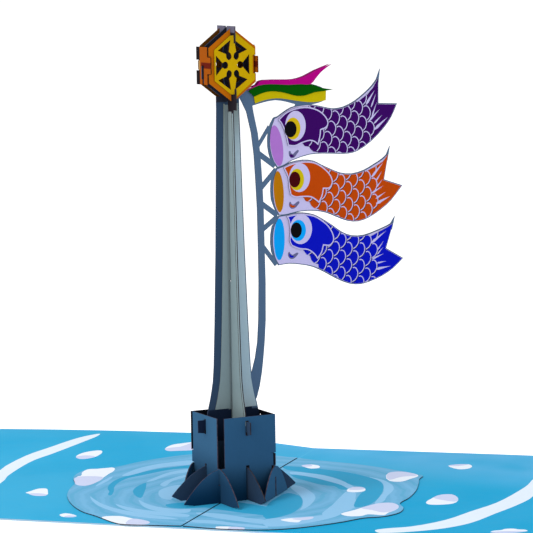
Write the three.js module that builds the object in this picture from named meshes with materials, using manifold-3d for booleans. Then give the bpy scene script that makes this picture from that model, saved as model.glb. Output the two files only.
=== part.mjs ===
// Pop-up greeting card with a carp-streamer pole, built from laser-cut paper.
// A two-panel card lies open. A 3 x 3 lattice of slotted paper slats stands over
// its spine. The two middle slats rise as a crossed pole with an arm, three
// fish-shaped streamers and a bundle of ribbons, and a hexagonal wheel of two
// plates and two strips sits on the pole's top.
//
// Units are millimetres, +Z is up. The origin is the middle of the spine on the
// underside of the open card, +X runs to the right panel's free edge and +Y runs
// along the spine to the back.
//
// The slats stand at 45 degrees to the spine: "A" slats run to the back right and
// "B" slats to the front right. A sheet is drawn in its own plane as (s, z): s along
// the sheet from the tower's axis, z the height above TOWER_Z, or above WHEEL_Z for
// the wheel's plates and strips.

import * as THREE from 'three';
import { mergeVertices } from 'three/addons/utils/BufferGeometryUtils.js';
import Module from 'manifold-3d';

const wasm = await Module();
wasm.setup();

// ---------------------------------------------------------------- dimensions
const PANEL_WIDTH = 200;        // each cover panel, spine to free edge
const CARD_DEPTH = 150;         // length of the spine
const COVER_THICK = 0.5;
const RIPPLE_THICK = 0.3;
const GLUE = 0.05;              // glue line between laminated sheets
const SPINE_GAP = 0.05;         // half gap between the two covers
const RIPPLE_GAP = 0.35;        // half gap between the two ripple sheets

const TOWER_Y = -19.9;          // tower axis, forward of the middle of the spine
const TOWER_Z = 0.95;           // underside of the slats
const BOX_HALF = 10.5;          // half pitch of the lattice
const BOX_CORNER = BOX_HALF * Math.SQRT2; // box corner to tower axis, along X
const BOX_TOP = 28.6;           // height of the box faces
const SLAT_THICK = 0.35;
const SLOT_WIDTH = 1.25;        // wide enough for the slats to fold to 33 degrees
const FIN_TOP = 11.5;           // height of the foot fins
const STOP = 0.7;               // a slat that ends at another one stops this far from it
const STOP_LOW = 1.4;           // same, where the slats end at a hinge bracket
const BRACKET_TOP = 10.6;       // height of the two hinge brackets
const SPLIT_Z = 74;             // height where the two pole slats' long slots meet
const SPLIT_OVERLAP = 0.15;     // each long slot runs this far past SPLIT_Z

const PRINT_THICK = 0.25;       // printed fish, ribbon and wheel layers
const PRINT_AT = SLAT_THICK / 2 + GLUE + PRINT_THICK / 2; // middle of the first layer
const PRINT_PITCH = PRINT_THICK + GLUE;                   // from one layer to the next

const WHEEL_Z = 148.65;         // wheel centre above the card's underside
const WHEEL_RISE = WHEEL_Z - TOWER_Z; // the same, in a slat's plane
const WHEEL_RADIUS = 12.65;     // centre to top vertex
const WHEEL_HALF = 8.8;         // half width across the upright sides
const WHEEL_OFFSET = 4.0;       // wheel plates, distance from the pole's A slat

// Ends of open slots, clear of any sheet.
const BELOW_ALL = -1;
const ABOVE_ALL = 200;

const COLOURS = {
  card: 0x2da7d6, ripple: 0x7db9d2, slate: 0x3b5f86, slateDark: 0x1d3556,
  pale: 0x8f9d9c, orange: 0xc36a00, yellow: 0xcda500, magenta: 0xaf0082,
  green: 0x005500, purple: 0x460078, carpOrange: 0xbe4b00, blue: 0x0014be,
};

// ---------------------------------------------------- geometry and solids
const solidOf = (geometry) => {
  const bare = geometry.clone();
  bare.deleteAttribute('normal');
  bare.deleteAttribute('uv');
  const merged = mergeVertices(bare, 1e-3);
  return new wasm.Manifold(new wasm.Mesh({
    numProp: 3,
    vertProperties: new Float32Array(merged.attributes.position.array),
    triVerts: new Uint32Array(merged.index.array),
  }));
};

const geometryOf = (solid) => {
  const mesh = solid.getMesh();
  const geometry = new THREE.BufferGeometry();
  const positions = new Float32Array(mesh.vertProperties);
  geometry.setAttribute('position', new THREE.BufferAttribute(positions, 3));
  geometry.setIndex(new THREE.BufferAttribute(new Uint32Array(mesh.triVerts), 1));
  geometry.computeVertexNormals();
  return geometry;
};

const cutAll = (solid, cuts) => cuts.reduce((rest, piece) => rest.subtract(piece), solid);
const joinAll = (parts) => parts.reduce((whole, part) => whole.add(part));

// ------------------------------------------------------------------ outlines
const vectors = (list) => list.map(([x, y]) => new THREE.Vector2(x, y));

// A closed outline through points. A point marked with a third element 1 is a
// sharp corner; between corners the outline is a smooth spline.
const outline = (points, steps = 2) => {
  const count = points.length;
  const corners = [...points.keys()].filter((i) => points[i][2]);
  return corners.flatMap((corner, k) => {
    let next = corners[(k + 1) % corners.length];
    if (next <= corner) next += count;
    const run = [];
    for (let i = corner; i <= next; i += 1) {
      const [x, y] = points[i % count];
      run.push(new THREE.Vector3(x, y, 0));
    }
    if (run.length === 2) return [new THREE.Vector2(run[0].x, run[0].y)];
    const curve = new THREE.CatmullRomCurve3(run, false, 'centripetal');
    return curve.getPoints((run.length - 1) * steps)
      .slice(0, -1)
      .map((p) => new THREE.Vector2(p.x, p.y));
  });
};

// Moves an outline outward by a distance that may vary along it. Sharp corners
// are mitred, up to a limit.
const MITRE_MIN_COS = 0.3;
const MITRE_MAX = 2.2;
const grow = (points, distanceAt) => {
  const sign = THREE.ShapeUtils.area(points) > 0 ? 1 : -1;
  const count = points.length;
  const normal = (from, to) => {
    const along = to.clone().sub(from).normalize();
    return new THREE.Vector2(along.y, -along.x).multiplyScalar(sign);
  };
  return points.map((point, i) => {
    const normalIn = normal(points[(i + count - 1) % count], point);
    const normalOut = normal(point, points[(i + 1) % count]);
    const mitre = normalIn.clone().add(normalOut).normalize();
    const stretch = Math.min(1 / Math.max(mitre.dot(normalIn), MITRE_MIN_COS), MITRE_MAX);
    return point.clone().addScaledVector(mitre, distanceAt(point) * stretch);
  });
};

// -------------------------------------------------------------------- sheets
const extrude = (points, thickness, bottom, holes = []) => {
  const shape = new THREE.Shape(points);
  shape.holes = holes.map((hole) => new THREE.Path(hole));
  const geometry = new THREE.ExtrudeGeometry(shape, { depth: thickness, bevelEnabled: false });
  geometry.translate(0, 0, bottom);
  return geometry;
};

// A sheet of paper whose thickness is centred on local z = at.
const sheet = (points, thickness = SLAT_THICK, at = 0, holes = []) => (
  extrude(points, thickness, at - thickness / 2, holes)
);
const sheetSolid = (...args) => solidOf(sheet(...args));

const plate = (from, to, low, high) => (
  sheetSolid(vectors([[from, low], [to, low], [to, high], [from, high]]))
);

// The same, mirrored in the tower's axis when side is -1.
const sidePlate = (side, from, to, low, high) => (
  side > 0 ? plate(from, to, low, high) : plate(-to, -from, low, high)
);

// A straight strip of paper between two points of a sheet's plane.
const strip = (start, end, width) => {
  const [a, b] = vectors([start, end]);
  const along = b.clone().sub(a).normalize();
  const half = new THREE.Vector2(-along.y, along.x).multiplyScalar(width / 2);
  return sheetSolid([
    a.clone().add(half), a.clone().sub(half), b.clone().sub(half), b.clone().add(half),
  ]);
};

// A straight-sided block through a sheet, used as a slot or a notch.
const CUT_DEPTH = 4;
const cut = (from, to, low, high) => {
  const block = new THREE.BoxGeometry(to - from, high - low, CUT_DEPTH);
  block.translate((from + to) / 2, (low + high) / 2, 0);
  return solidOf(block);
};
const slot = (middle, low, high, width = SLOT_WIDTH) => (
  cut(middle - width / 2, middle + width / 2, low, high)
);

// ---------------------------------------------------------- groups and meshes
const card = new THREE.Group();
const UP = new THREE.Vector3(0, 0, 1);
const ALONG_X = new THREE.Vector3(1, 0, 0);
const ALONG_Y = new THREE.Vector3(0, 1, 0);
const ALONG_A = new THREE.Vector3(1, 1, 0).normalize();
const ALONG_B = new THREE.Vector3(1, -1, 0).normalize();

// A group that holds upright sheets: local x along the sheet, local y up, local z
// across it. Its origin is moved from the tower's axis by distance along towards.
// Local z points along +B in an A group, -A in a B group and +X in a Y group.
const uprightGroup = (along, towards, distance, height = TOWER_Z) => {
  const group = new THREE.Group();
  const across = new THREE.Vector3().crossVectors(along, UP);
  const basis = new THREE.Matrix4().makeBasis(along, UP, across);
  group.quaternion.setFromRotationMatrix(basis);
  group.position.set(0, TOWER_Y, height).addScaledVector(towards, distance);
  card.add(group);
  return group;
};

const put = (group, name, geometry, colour) => {
  const material = new THREE.MeshStandardMaterial({
    color: colour,
    roughness: 0.85,
    metalness: 0,
  });
  const mesh = new THREE.Mesh(geometry, material);
  mesh.name = name;
  group.add(mesh);
};
const putSolid = (group, name, solid, colour) => put(group, name, geometryOf(solid), colour);

// -------------------------------------------------------------------- covers
const addCover = (name, from, to) => {
  const front = -CARD_DEPTH / 2;
  const back = CARD_DEPTH / 2;
  const points = vectors([[from, front], [to, front], [to, back], [from, back]]);
  put(card, name, extrude(points, COVER_THICK, 0), COLOURS.card);
};

// ----------------------------------------------------- ripple (water) sheets
// Columns: x, y, 1 at a sharp corner.
const RIPPLE_LEFT = [
  [-RIPPLE_GAP, -73.4, 1], [-12.3, -75], [-20.5, -75.4], [-24.9, -72.7], [-29.4, -68.6],
  [-34.1, -64.4], [-40.4, -59.3], [-48, -49.5], [-55.4, -35.8], [-59.3, -24.4],
  [-61.9, -12.5], [-65.4, -5.2], [-67.3, 1], [-67.6, 8.5], [-66, 13], [-62.1, 14.4],
  [-58.2, 17], [-52.3, 24.9], [-45.6, 31.7], [-37.4, 39], [-25.4, 46.9], [-13.1, 52],
  [-RIPPLE_GAP, 53, 1],
];
const RIPPLE_RIGHT = [
  [RIPPLE_GAP, -73.4, 1], [RIPPLE_GAP, 52.2, 1], [10, 48.5], [21.5, 45.2], [31.5, 41.2],
  [41.5, 36], [50, 31], [54, 28], [54.4, 22], [56.2, 14.4], [58.6, 2], [59.6, -10.5],
  [59.2, -20.7], [62.6, -28.5], [63.2, -36], [60, -43], [54.2, -47], [49.5, -54.5],
  [43, -62.5], [36.5, -68.5], [29, -72.8], [14, -75],
];
const RIPPLE_STEPS = 3;

const addRipple = (name, points) => {
  const geometry = extrude(outline(points, RIPPLE_STEPS), RIPPLE_THICK, COVER_THICK + GLUE);
  put(card, name, geometry, COLOURS.ripple);
};

// --------------------------------------------------------------- curved fins
// Convex arc from the fin's top at s = from down to its tip at s = to.
const FIN_STEPS = 6;
const FIN_POWER = 1.7;
const finArc = (from, to, tipZ, topZ) => {
  const points = [];
  for (let i = 0; i <= FIN_STEPS; i += 1) {
    const u = i / FIN_STEPS;
    points.push([from + (to - from) * u, tipZ + (topZ - tipZ) * (1 - u ** FIN_POWER)]);
  }
  return points;
};

// ----------------------------------------------------------- hinge brackets
// Upright curved triangles parallel to the spine at the box's left and right corners.
const BRACKET_HALF = 12.8;        // half length
const BRACKET_BOTTOM = 0.1;
const BRACKET_TIP_Z = 0.55;       // height of the blunt tips
const BRACKET_PEAK_HALF = 0.6;    // half width of the flat top
const BRACKET_SLOT_HALF = 0.55;   // slot up from the underside
const BRACKET_SLOT_TOP = 6.9;

const bracketOutline = () => {
  const right = finArc(BRACKET_PEAK_HALF, BRACKET_HALF, BRACKET_TIP_Z, BRACKET_TOP);
  const left = right.map(([s, z]) => [-s, z]).reverse();
  return vectors([
    [-BRACKET_HALF, BRACKET_BOTTOM], ...left, ...right, [BRACKET_HALF, BRACKET_BOTTOM],
    [BRACKET_SLOT_HALF, BRACKET_BOTTOM], [BRACKET_SLOT_HALF, BRACKET_SLOT_TOP],
    [-BRACKET_SLOT_HALF, BRACKET_SLOT_TOP], [-BRACKET_SLOT_HALF, BRACKET_BOTTOM],
  ]);
};

const addBracket = (name, x) => {
  put(uprightGroup(ALONG_Y, ALONG_X, x), name, sheet(bracketOutline()), COLOURS.slate);
};

// ------------------------------------------------------- feet and lock tabs
const FOOT_OVERLAP = 1.5;      // foot reaches this far back into its slat
const FOOT_FLAT_END = 20.4;    // the underside is flat out to here
const FOOT_TIP_HEIGHT = 0.35;  // height of the blunt tip

// A fin outside the lattice: its tip is tipS from the tower axis, raised by raise
// so that it clears the panels as the card folds.
const foot = (side, from, tipS, raise) => {
  const arc = finArc(from, tipS, raise + FOOT_TIP_HEIGHT, FIN_TOP).reverse();
  const points = [
    [from - FOOT_OVERLAP, 0], [FOOT_FLAT_END, 0], [tipS, raise],
    ...arc, [from - FOOT_OVERLAP, FIN_TOP],
  ];
  return sheetSolid(vectors(points.map(([s, z]) => [side * s, z])));
};

const TAB_LOW = 22.4;
const TAB_HIGH = 26.9;
const TAB_STEM_RISE = 0.9;     // underside of the stem above the hook's lower end
const TAB_TIP_RISE = 0.3;      // outer end of the hook's sloping underside
const TAB_INNER = BOX_HALF - STOP - 0.6;
const TAB_HOOK = BOX_HALF + 0.55;
const TAB_OUTER = BOX_HALF + 2.9;

// A lock tab that passes through a face and hooks down behind it.
const lockTab = (side) => {
  const points = [
    [TAB_INNER, TAB_LOW + TAB_STEM_RISE], [TAB_HOOK, TAB_LOW + TAB_STEM_RISE],
    [TAB_HOOK, TAB_LOW], [TAB_OUTER, TAB_LOW + TAB_TIP_RISE],
    [TAB_OUTER, TAB_HIGH], [TAB_INNER, TAB_HIGH],
  ];
  return sheetSolid(vectors(points.map(([s, z]) => [side * s, z])));
};

// ---------------------------------------------------------------- box faces
const CORNER_LOW = BRACKET_TOP + 0.4;  // underside of the slat corners over the brackets
const FINGER_Z = 15.2;                 // height where the corner fingers change over
const FINGER_GAP = 0.15;               // half gap between the fingers
const END_INNER = BOX_HALF - 2.5;      // inner edge of the fingers and foot roots
const FOOT_ROOT = BOX_HALF + 1;        // outer edge of the foot roots
const FACE_FOOT_RAISE = 0.6;
const A_FACE_FOOT_TIP = 24;
const B_FACE_FOOT_TIP = 24.6;
const A_FACE_INSET = 1.9;              // foot end of the full-height body, from the corner
const B_FACE_INSET = 1.5;
const A_CROSS_SLOT_LOW = 5.9;          // A faces are slotted from above down to here
const B_CROSS_SLOT_HIGH = 6.2;         // B faces are slotted from below up to here
const FRONT_FINGER_REACH = 0.3;        // upper finger past the corner, front slat
const BACK_FINGER_REACH = 0.5;         // the same, back slat
const B_FINGER_REACH = 0.3;            // lower finger past the corner, B slats

// Slots where the middle slat's foot and lock tab pass through a face.
const middleSlots = () => [
  slot(0, BELOW_ALL, FIN_TOP + 0.4),
  slot(0, TAB_LOW - 0.3, TAB_HIGH + 0.35),
];

// Parts of every face: footSide is the end with the foot, the other end has fingers.
const faceParts = (footSide, inset, footTip) => [
  sidePlate(footSide, -BOX_HALF + STOP_LOW, BOX_HALF - inset, 0, BOX_TOP),
  sidePlate(footSide, END_INNER, FOOT_ROOT, 0, FIN_TOP),
  foot(footSide, BOX_HALF, footTip, FACE_FOOT_RAISE),
];

const aFace = (footSide, fingerReach) => {
  const finger = (outer, low, high) => sidePlate(footSide, -outer, -END_INNER, low, high);
  return cutAll(joinAll([
    ...faceParts(footSide, A_FACE_INSET, A_FACE_FOOT_TIP),
    finger(BOX_HALF - STOP, CORNER_LOW, FINGER_Z),
    finger(BOX_HALF + fingerReach, FINGER_Z + FINGER_GAP, BOX_TOP),
  ]), [slot(footSide * BOX_HALF, A_CROSS_SLOT_LOW, ABOVE_ALL), ...middleSlots()]);
};

const bFace = (footSide) => {
  const finger = (outer, low, high) => sidePlate(footSide, -outer, -END_INNER, low, high);
  return cutAll(joinAll([
    ...faceParts(footSide, B_FACE_INSET, B_FACE_FOOT_TIP),
    finger(BOX_HALF + B_FINGER_REACH, CORNER_LOW, FINGER_Z - FINGER_GAP),
    finger(BOX_HALF - STOP, CORNER_LOW, BOX_TOP),
  ]), [slot(footSide * BOX_HALF, BELOW_ALL, B_CROSS_SLOT_HIGH), ...middleSlots()]);
};

// The front slat is the box's front right face and the back slat its back left one;
// the left slat is the front left face and the right slat the back right one.
const addFaces = () => {
  const aGroup = (distance) => uprightGroup(ALONG_A, ALONG_B, distance);
  const bGroup = (distance) => uprightGroup(ALONG_B, ALONG_A, distance);
  putSolid(aGroup(BOX_HALF), 'front_slat', aFace(-1, FRONT_FINGER_REACH), COLOURS.slate);
  putSolid(aGroup(-BOX_HALF), 'back_slat', aFace(1, BACK_FINGER_REACH), COLOURS.slate);
  putSolid(bGroup(-BOX_HALF), 'left_slat', bFace(1), COLOURS.slate);
  putSolid(bGroup(BOX_HALF), 'right_slat', bFace(-1), COLOURS.slate);
};

// -------------------------------------------------------------- pole profile
// Columns: height, half width of the pole.
const POLE = [
  [BOX_TOP - 0.2, BOX_HALF - STOP], [31.2, 9.2], [34, 8.5], [37, 7.9], [40, 7.4],
  [45, 7.0], [60, 6.35], [85, 5.5], [108, 4.9], [133, 4.3],
];
const POLE_TOP_HALF = POLE.at(-1)[1];
const MID_FOOT_FROM = BOX_HALF - 2;
const MID_FOOT_TIP = 23.6;
const MID_FOOT_RAISE = 1.6;   // higher, as these tips reach past the bracket hinges

// Half width at a height. Below the table the first slope carries on.
const poleHalfWidth = (z) => {
  const i = POLE.findIndex(([height], k) => k > 0 && z <= height);
  if (i < 0) return POLE_TOP_HALF;
  const [lowZ, lowHalf] = POLE[i - 1];
  const [highZ, highHalf] = POLE[i];
  return THREE.MathUtils.mapLinear(z, lowZ, highZ, lowHalf, highHalf);
};

const poleBody = () => {
  const right = POLE.map(([z, half]) => [half, z]);
  const left = POLE.map(([z, half]) => [-half, z]).reverse();
  const bottomHalf = BOX_HALF - STOP;
  return sheetSolid(vectors([[-bottomHalf, 0], [bottomHalf, 0], ...right, ...left]));
};

// What both pole slats share: the pole, a foot and a lock tab on each side.
const poleParts = () => [
  poleBody(),
  ...[-1, 1].flatMap((side) => [
    foot(side, MID_FOOT_FROM, MID_FOOT_TIP, MID_FOOT_RAISE),
    lockTab(side),
  ]),
];

// ------------------------------------------------------------- pole overlays
const POLE_OVERLAY_THICK = 0.15;
const POLE_GLUE = 0.03;
const POLE_OVERLAY_AT = SLAT_THICK / 2 + POLE_GLUE + POLE_OVERLAY_THICK / 2;
const SLIT_CLOSING = 1.22;    // gap to the crossing where the slats fold together
const SLIT_OPENING = 0.55;    // and where they fold apart
const STATION_MARGIN = 0.6;   // profile stations closer than this to an end are left out
const A_OVERLAY_RANGE = [30.2, WHEEL_RISE - WHEEL_RADIUS - 0.55];
const B_OVERLAY_RANGE = [25, WHEEL_RISE - WHEEL_RADIUS - 3.2];

// Columns: name, side along the slat, face of the slat, inset from the pole's edge,
// distance from the crossing.
const A_OVERLAYS = [
  ['pole_overlay_front_left', -1, 1, 2.55, SLIT_CLOSING],
  ['pole_overlay_front_right', 1, 1, 0.4, SLIT_OPENING],
  ['pole_overlay_back_left', -1, -1, 0.4, SLIT_OPENING],
  ['pole_overlay_back_right', 1, -1, 2.55, SLIT_CLOSING],
];
const B_OVERLAYS = [
  ['cross_overlay_near_left', 1, 1, 0.8, SLIT_CLOSING],
  ['cross_overlay_near_right', 1, -1, 0.8, SLIT_OPENING],
  ['cross_overlay_far_left', -1, 1, 0.8, SLIT_OPENING],
  ['cross_overlay_far_right', -1, -1, 0.8, SLIT_CLOSING],
];

const addPoleOverlays = (group, overlays, [low, high]) => {
  const stations = POLE.map(([z]) => z)
    .filter((z) => z > low + STATION_MARGIN && z < high - STATION_MARGIN);
  const heights = [low, ...stations, high];
  overlays.forEach(([name, side, face, inset, slit]) => {
    const outer = heights.map((z) => [side * (poleHalfWidth(z) - inset), z]);
    const inner = heights.map((z) => [side * slit, z]).reverse();
    const points = vectors([...outer, ...inner]);
    const geometry = sheet(points, POLE_OVERLAY_THICK, face * POLE_OVERLAY_AT);
    put(group, name, geometry, COLOURS.pale);
  });
};

// -------------------------------------------------------------- wheel plates
const HEX_SHOULDER_DROP = 0.4;  // side corners are this much nearer the middle
const SIDE_REACH = 6.6;         // side strips reach at most this far above and below centre
const TAB_MID = 2.8;            // half height of a side strip's middle tab
const TAB_SPLIT = 1.8;          // a side strip's two tabs start this far from centre
const TAB_CLEARANCE = 0.3;
const VERTEX_CUT = 2.75;        // depth of the slots at the top and bottom vertices
const WINDOW_SCALE = 0.97;
const WINDOW_SQUASH = WHEEL_HALF / (WHEEL_RADIUS * 0.866);

// One window: a triangle outside and a round knob inside.
// Columns: distance out from the wheel's centre, distance sideways.
const WINDOW = [
  [2.45, -0.85], [3.1, -1.2], [3.9, -1.25], [4.5, -0.95], [4.9, -0.8], [8.0, -3.55],
  [8.0, 3.55], [4.9, 0.8], [4.5, 0.95], [3.9, 1.25], [3.1, 1.2], [2.45, 0.85], [2.2, 0],
];

// Six windows, one towards each side.
const wheelWindows = () => [0, 1, 2, 3, 4, 5].map((k) => {
  const angle = (k * Math.PI) / 3;
  return WINDOW.map(([out, aside]) => {
    const x = out * Math.cos(angle) - aside * Math.sin(angle);
    const y = out * Math.sin(angle) + aside * Math.cos(angle);
    return new THREE.Vector2(x * WINDOW_SQUASH * WINDOW_SCALE, y * WINDOW_SCALE);
  });
});

const WHEEL_PLATE = {
  half: WHEEL_HALF, radius: WHEEL_RADIUS, shift: 0, thickness: SLAT_THICK,
};
const WHEEL_OVERLAY = {
  half: WHEEL_HALF - 1.2, radius: WHEEL_RADIUS - 1.5, shift: 0.75, thickness: PRINT_THICK,
};
// Slot width at the vertices, and depth of the notches in from the sides.
const PLATE_NOTCH = { slotWidth: SLOT_WIDTH, depth: STOP };
const OVERLAY_NOTCH = { slotWidth: 2.4, depth: 1.25 };

// A hexagon with windows; shift moves its outline, but not the windows, along s.
const hexPlate = ({ half, radius, shift, thickness }, notches, at = 0) => {
  const shoulder = radius / 2 - HEX_SHOULDER_DROP;
  const points = vectors([
    [shift, radius], [shift - half, shoulder], [shift - half, -shoulder],
    [shift, -radius], [shift + half, -shoulder], [shift + half, shoulder],
  ]);
  return cutAll(sheetSolid(points, thickness, at, wheelWindows()), notches);
};

const vertexSlots = (width) => [
  slot(0, WHEEL_RADIUS - VERTEX_CUT, WHEEL_RADIUS + 2, width),
  slot(0, -WHEEL_RADIUS - 2, -WHEEL_RADIUS + VERTEX_CUT, width),
];
const sideNotches = (depth, low, high) => [
  cut(WHEEL_HALF - depth, WHEEL_HALF + 3, low, high),
  cut(-WHEEL_HALF - 3, -WHEEL_HALF + depth, low, high),
];
const frontNotches = ({ slotWidth, depth }) => [
  ...vertexSlots(slotWidth),
  ...sideNotches(depth, -TAB_MID - TAB_CLEARANCE, TAB_MID + TAB_CLEARANCE),
];
const backNotches = ({ slotWidth, depth }) => {
  const near = TAB_SPLIT - TAB_CLEARANCE;
  const far = SIDE_REACH + TAB_CLEARANCE;
  return [
    ...vertexSlots(slotWidth),
    ...sideNotches(depth, -far, -near),
    ...sideNotches(depth, near, far),
  ];
};

// A plate parallel to the A slat with a printed overlay on its outer face.
const addWheelPlate = (end, side, notches) => {
  const group = uprightGroup(ALONG_A, ALONG_B, side * WHEEL_OFFSET, WHEEL_Z);
  const base = hexPlate(WHEEL_PLATE, notches(PLATE_NOTCH));
  const overlay = hexPlate(WHEEL_OVERLAY, notches(OVERLAY_NOTCH), side * PRINT_AT);
  putSolid(group, `wheel_${end}_plate`, base, COLOURS.orange);
  putSolid(group, `wheel_${end}_overlay`, overlay, COLOURS.yellow);
};

// A side strip across the wheel, drawn along B: one middle tab through the front
// plate, two tabs through the back plate, and a slot for the middle hexagon.
const FRONT_TAB_END = 5.9;
const BACK_TAB_END = 5.1;
const addWheelStrip = (name, distance, low, high) => {
  const solid = cutAll(joinAll([
    plate(-WHEEL_OFFSET + STOP, WHEEL_OFFSET - STOP, low, high),
    plate(0, FRONT_TAB_END, -TAB_MID, TAB_MID),
    plate(-BACK_TAB_END, 0, low, -TAB_SPLIT),
    plate(-BACK_TAB_END, 0, TAB_SPLIT, high),
  ]), [slot(0, -SIDE_REACH - 1, 0)]);
  putSolid(uprightGroup(ALONG_B, ALONG_A, distance, WHEEL_Z), name, solid, COLOURS.orange);
};

// The wheel's middle hexagon, part of the A slat, with a finger low on each side.
const wheelMiddle = () => {
  const hexagon = hexPlate(WHEEL_PLATE, sideNotches(STOP, -0.2, SIDE_REACH + 0.4));
  const finger = (side) => sidePlate(side, WHEEL_HALF - 1.2, WHEEL_HALF + 0.7, -4.6, -0.25);
  return [hexagon, finger(-1), finger(1)].map((part) => part.translate([0, WHEEL_RISE, 0]));
};

// ------------------------------------------------- wheel hooks on the B slat
const HEAD_HALF = 3.2;                      // half width of the head's upright
const HOOK_OUTER = 6.7;
const HOOK_INNER = WHEEL_OFFSET + 1.8;      // hooks stand outside the wheel plates
const wheelHooks = () => {
  const top = WHEEL_RISE + WHEEL_RADIUS;
  const bottom = WHEEL_RISE - WHEEL_RADIUS;
  const hooks = (low, high) => (
    [-1, 1].map((side) => sidePlate(side, HOOK_INNER, HOOK_OUTER, low, high))
  );
  return [
    plate(-HEAD_HALF, HEAD_HALF, bottom - 4, top + 0.4),
    // top bar with hooks that reach down
    plate(-HOOK_OUTER, HOOK_OUTER, top - VERTEX_CUT + 0.2, top + 0.4),
    ...hooks(top - VERTEX_CUT - 2.6, top),
    // bottom bar with hooks that reach up
    plate(-HOOK_OUTER, HOOK_OUTER, bottom - 2.6, bottom + VERTEX_CUT - 0.2),
    ...hooks(bottom, bottom + VERTEX_CUT + 1.8),
  ];
};

// ---------------------------------------------------------------------- fish
// Outlines have columns s, z, 1 at a sharp corner. tailTip is a straight-sided
// triangle of the backing, with columns s, z.
const FISH = {
  upper: {
    colour: COLOURS.purple,
    body: [
      [17.6, 128.5, 1], [18.8, 129], [21.1, 130.4], [24.05, 131.9], [27.8, 132.55],
      [31.6, 132.6], [36.05, 131.7], [40.0, 130.85], [44.25, 131.2], [48.95, 133.1],
      [52.85, 135.7], [55.9, 138.2], [58.15, 140.9, 1], [57.95, 131.9, 1], [65.2, 131.5, 1],
      [63.06, 127.3], [60.0, 123.6], [55.0, 119.3], [49.6, 116.2], [46.1, 115.5],
      [41.9, 115.6], [36.0, 116], [30.9, 115.9], [24.1, 114.2], [20.8, 112.65],
      [18.5, 112.05, 1], [16.9, 114.6], [15.75, 119.3], [16.1, 124.5],
    ],
    head: [
      [18.76, 128.2, 1], [21.9, 130.6], [26.1, 131.9], [30.3, 132.05], [34.5, 130.75],
      [37.2, 128.5], [38.2, 126.2], [37.4, 124.7], [35.25, 123.9, 1], [35.0, 121.85],
      [34.1, 118.7, 1], [32.6, 119.9], [31.0, 120.35], [28.0, 119.8], [25.1, 118.8],
      [22.4, 119.1, 1], [21.6, 122.5], [20.2, 126.3],
    ],
    tailTip: [[56.2, 137.6], [59.0, 144.1], [58.3, 138.6]],
  },
  middle: {
    colour: COLOURS.carpOrange,
    body: [
      [18.3, 111.2, 1], [20.5, 111.9], [23.65, 113.1], [28.4, 113.7], [32.4, 113.15],
      [35.1, 111.8], [38.7, 110.15], [42.65, 108.55], [47.45, 107.95], [52.3, 108.95],
      [56.4, 110.85], [59.7, 112.6], [61.75, 114.3, 1], [59.8, 105.3, 1], [66.9, 102.9, 1],
      [62.7, 98.3], [58.6, 95.3], [53.7, 92.75], [49.65, 91.7], [45.65, 92.1], [41.2, 93.8],
      [37.65, 95.3], [32.9, 96.35], [27.3, 96.5], [21.4, 95.65], [18.9, 95.55, 1],
      [17.3, 98.6], [16.6, 103.8], [17.1, 108.3],
    ],
    head: [
      [20.5, 111.8, 1], [23.65, 112.85], [28.4, 113.4], [32.4, 112.9], [36.3, 110.75],
      [39.0, 107.8], [39.55, 105.65], [38.4, 103.65], [36.0, 103.55, 1], [35.5, 101.3],
      [34.1, 98.7, 1], [32.9, 99.7], [31.0, 100.85], [27.4, 101.2], [25.0, 101.2],
      [23.1, 102, 1], [22.5, 104.85], [22.2, 108],
    ],
    tailTip: [[59.9, 111.7], [62.6, 117.1], [61.6, 112]],
  },
  lower: {
    colour: COLOURS.blue,
    body: [
      [18.8, 94.85, 1], [21.4, 95.05], [24.55, 95.55], [28.1, 95.5], [32.1, 94.65],
      [34.8, 93.3], [39.2, 90.6], [43.1, 87.9], [47.1, 86.4], [52.0, 86.3], [57.3, 87.7],
      [61.4, 89.1], [63.35, 90, 1], [60.3, 81.25, 1], [66.95, 77.4, 1], [63.3, 74.4],
      [59.1, 72.1], [53.8, 70.3], [50.1, 69.65], [46.1, 70.1], [41.3, 72.05], [36.5, 74.7],
      [31.8, 76.95], [27.0, 78.1], [22.3, 78.7], [18.5, 78.4, 1], [17.2, 80.7],
      [16.25, 86], [16.9, 91.4],
    ],
    head: [
      [21.4, 94.9, 1], [24.55, 95.35], [28.1, 95.3], [32.1, 94.5], [35.2, 92.75],
      [38.0, 90.3], [39.7, 87], [39.7, 85.25], [38.2, 83.75], [35.7, 83.9, 1], [35.0, 81.65],
      [33.2, 79.3, 1], [31.85, 81.1], [29.5, 82.7], [26.3, 83.25], [23.2, 84.5, 1],
      [22.4, 86.3], [22.7, 89.8], [22.2, 93.4],
    ],
    tailTip: [[61.2, 88.1], [64.3, 92.4], [63.1, 87.7]],
  },
};

// The backing stands a little proud of each printed fish, and more at the mouth.
const backingMargin = ({ x }) => {
  if (x < 17.2) return 0.9;
  return x < 18.4 ? 0.5 : 0.3;
};
const fishBacking = ({ body, tailTip }) => [
  sheetSolid(grow(outline(body), backingMargin)),
  sheetSolid(vectors(tailTip)),
];

const FACES = [['front', 1], ['back', -1]];

// Printed fish sheets and raised head plates, glued to both sides of the backing.
const addFish = (group) => {
  Object.entries(FISH).forEach(([key, { body, head, colour }]) => {
    FACES.forEach(([face, side]) => {
      const bodySheet = sheet(outline(body), PRINT_THICK, side * PRINT_AT);
      const headSheet = sheet(outline(head), PRINT_THICK, side * (PRINT_AT + PRINT_PITCH));
      put(group, `${key}_fish_${face}`, bodySheet, colour);
      put(group, `${key}_fish_head_${face}`, headSheet, colour);
    });
  });
};

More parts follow.
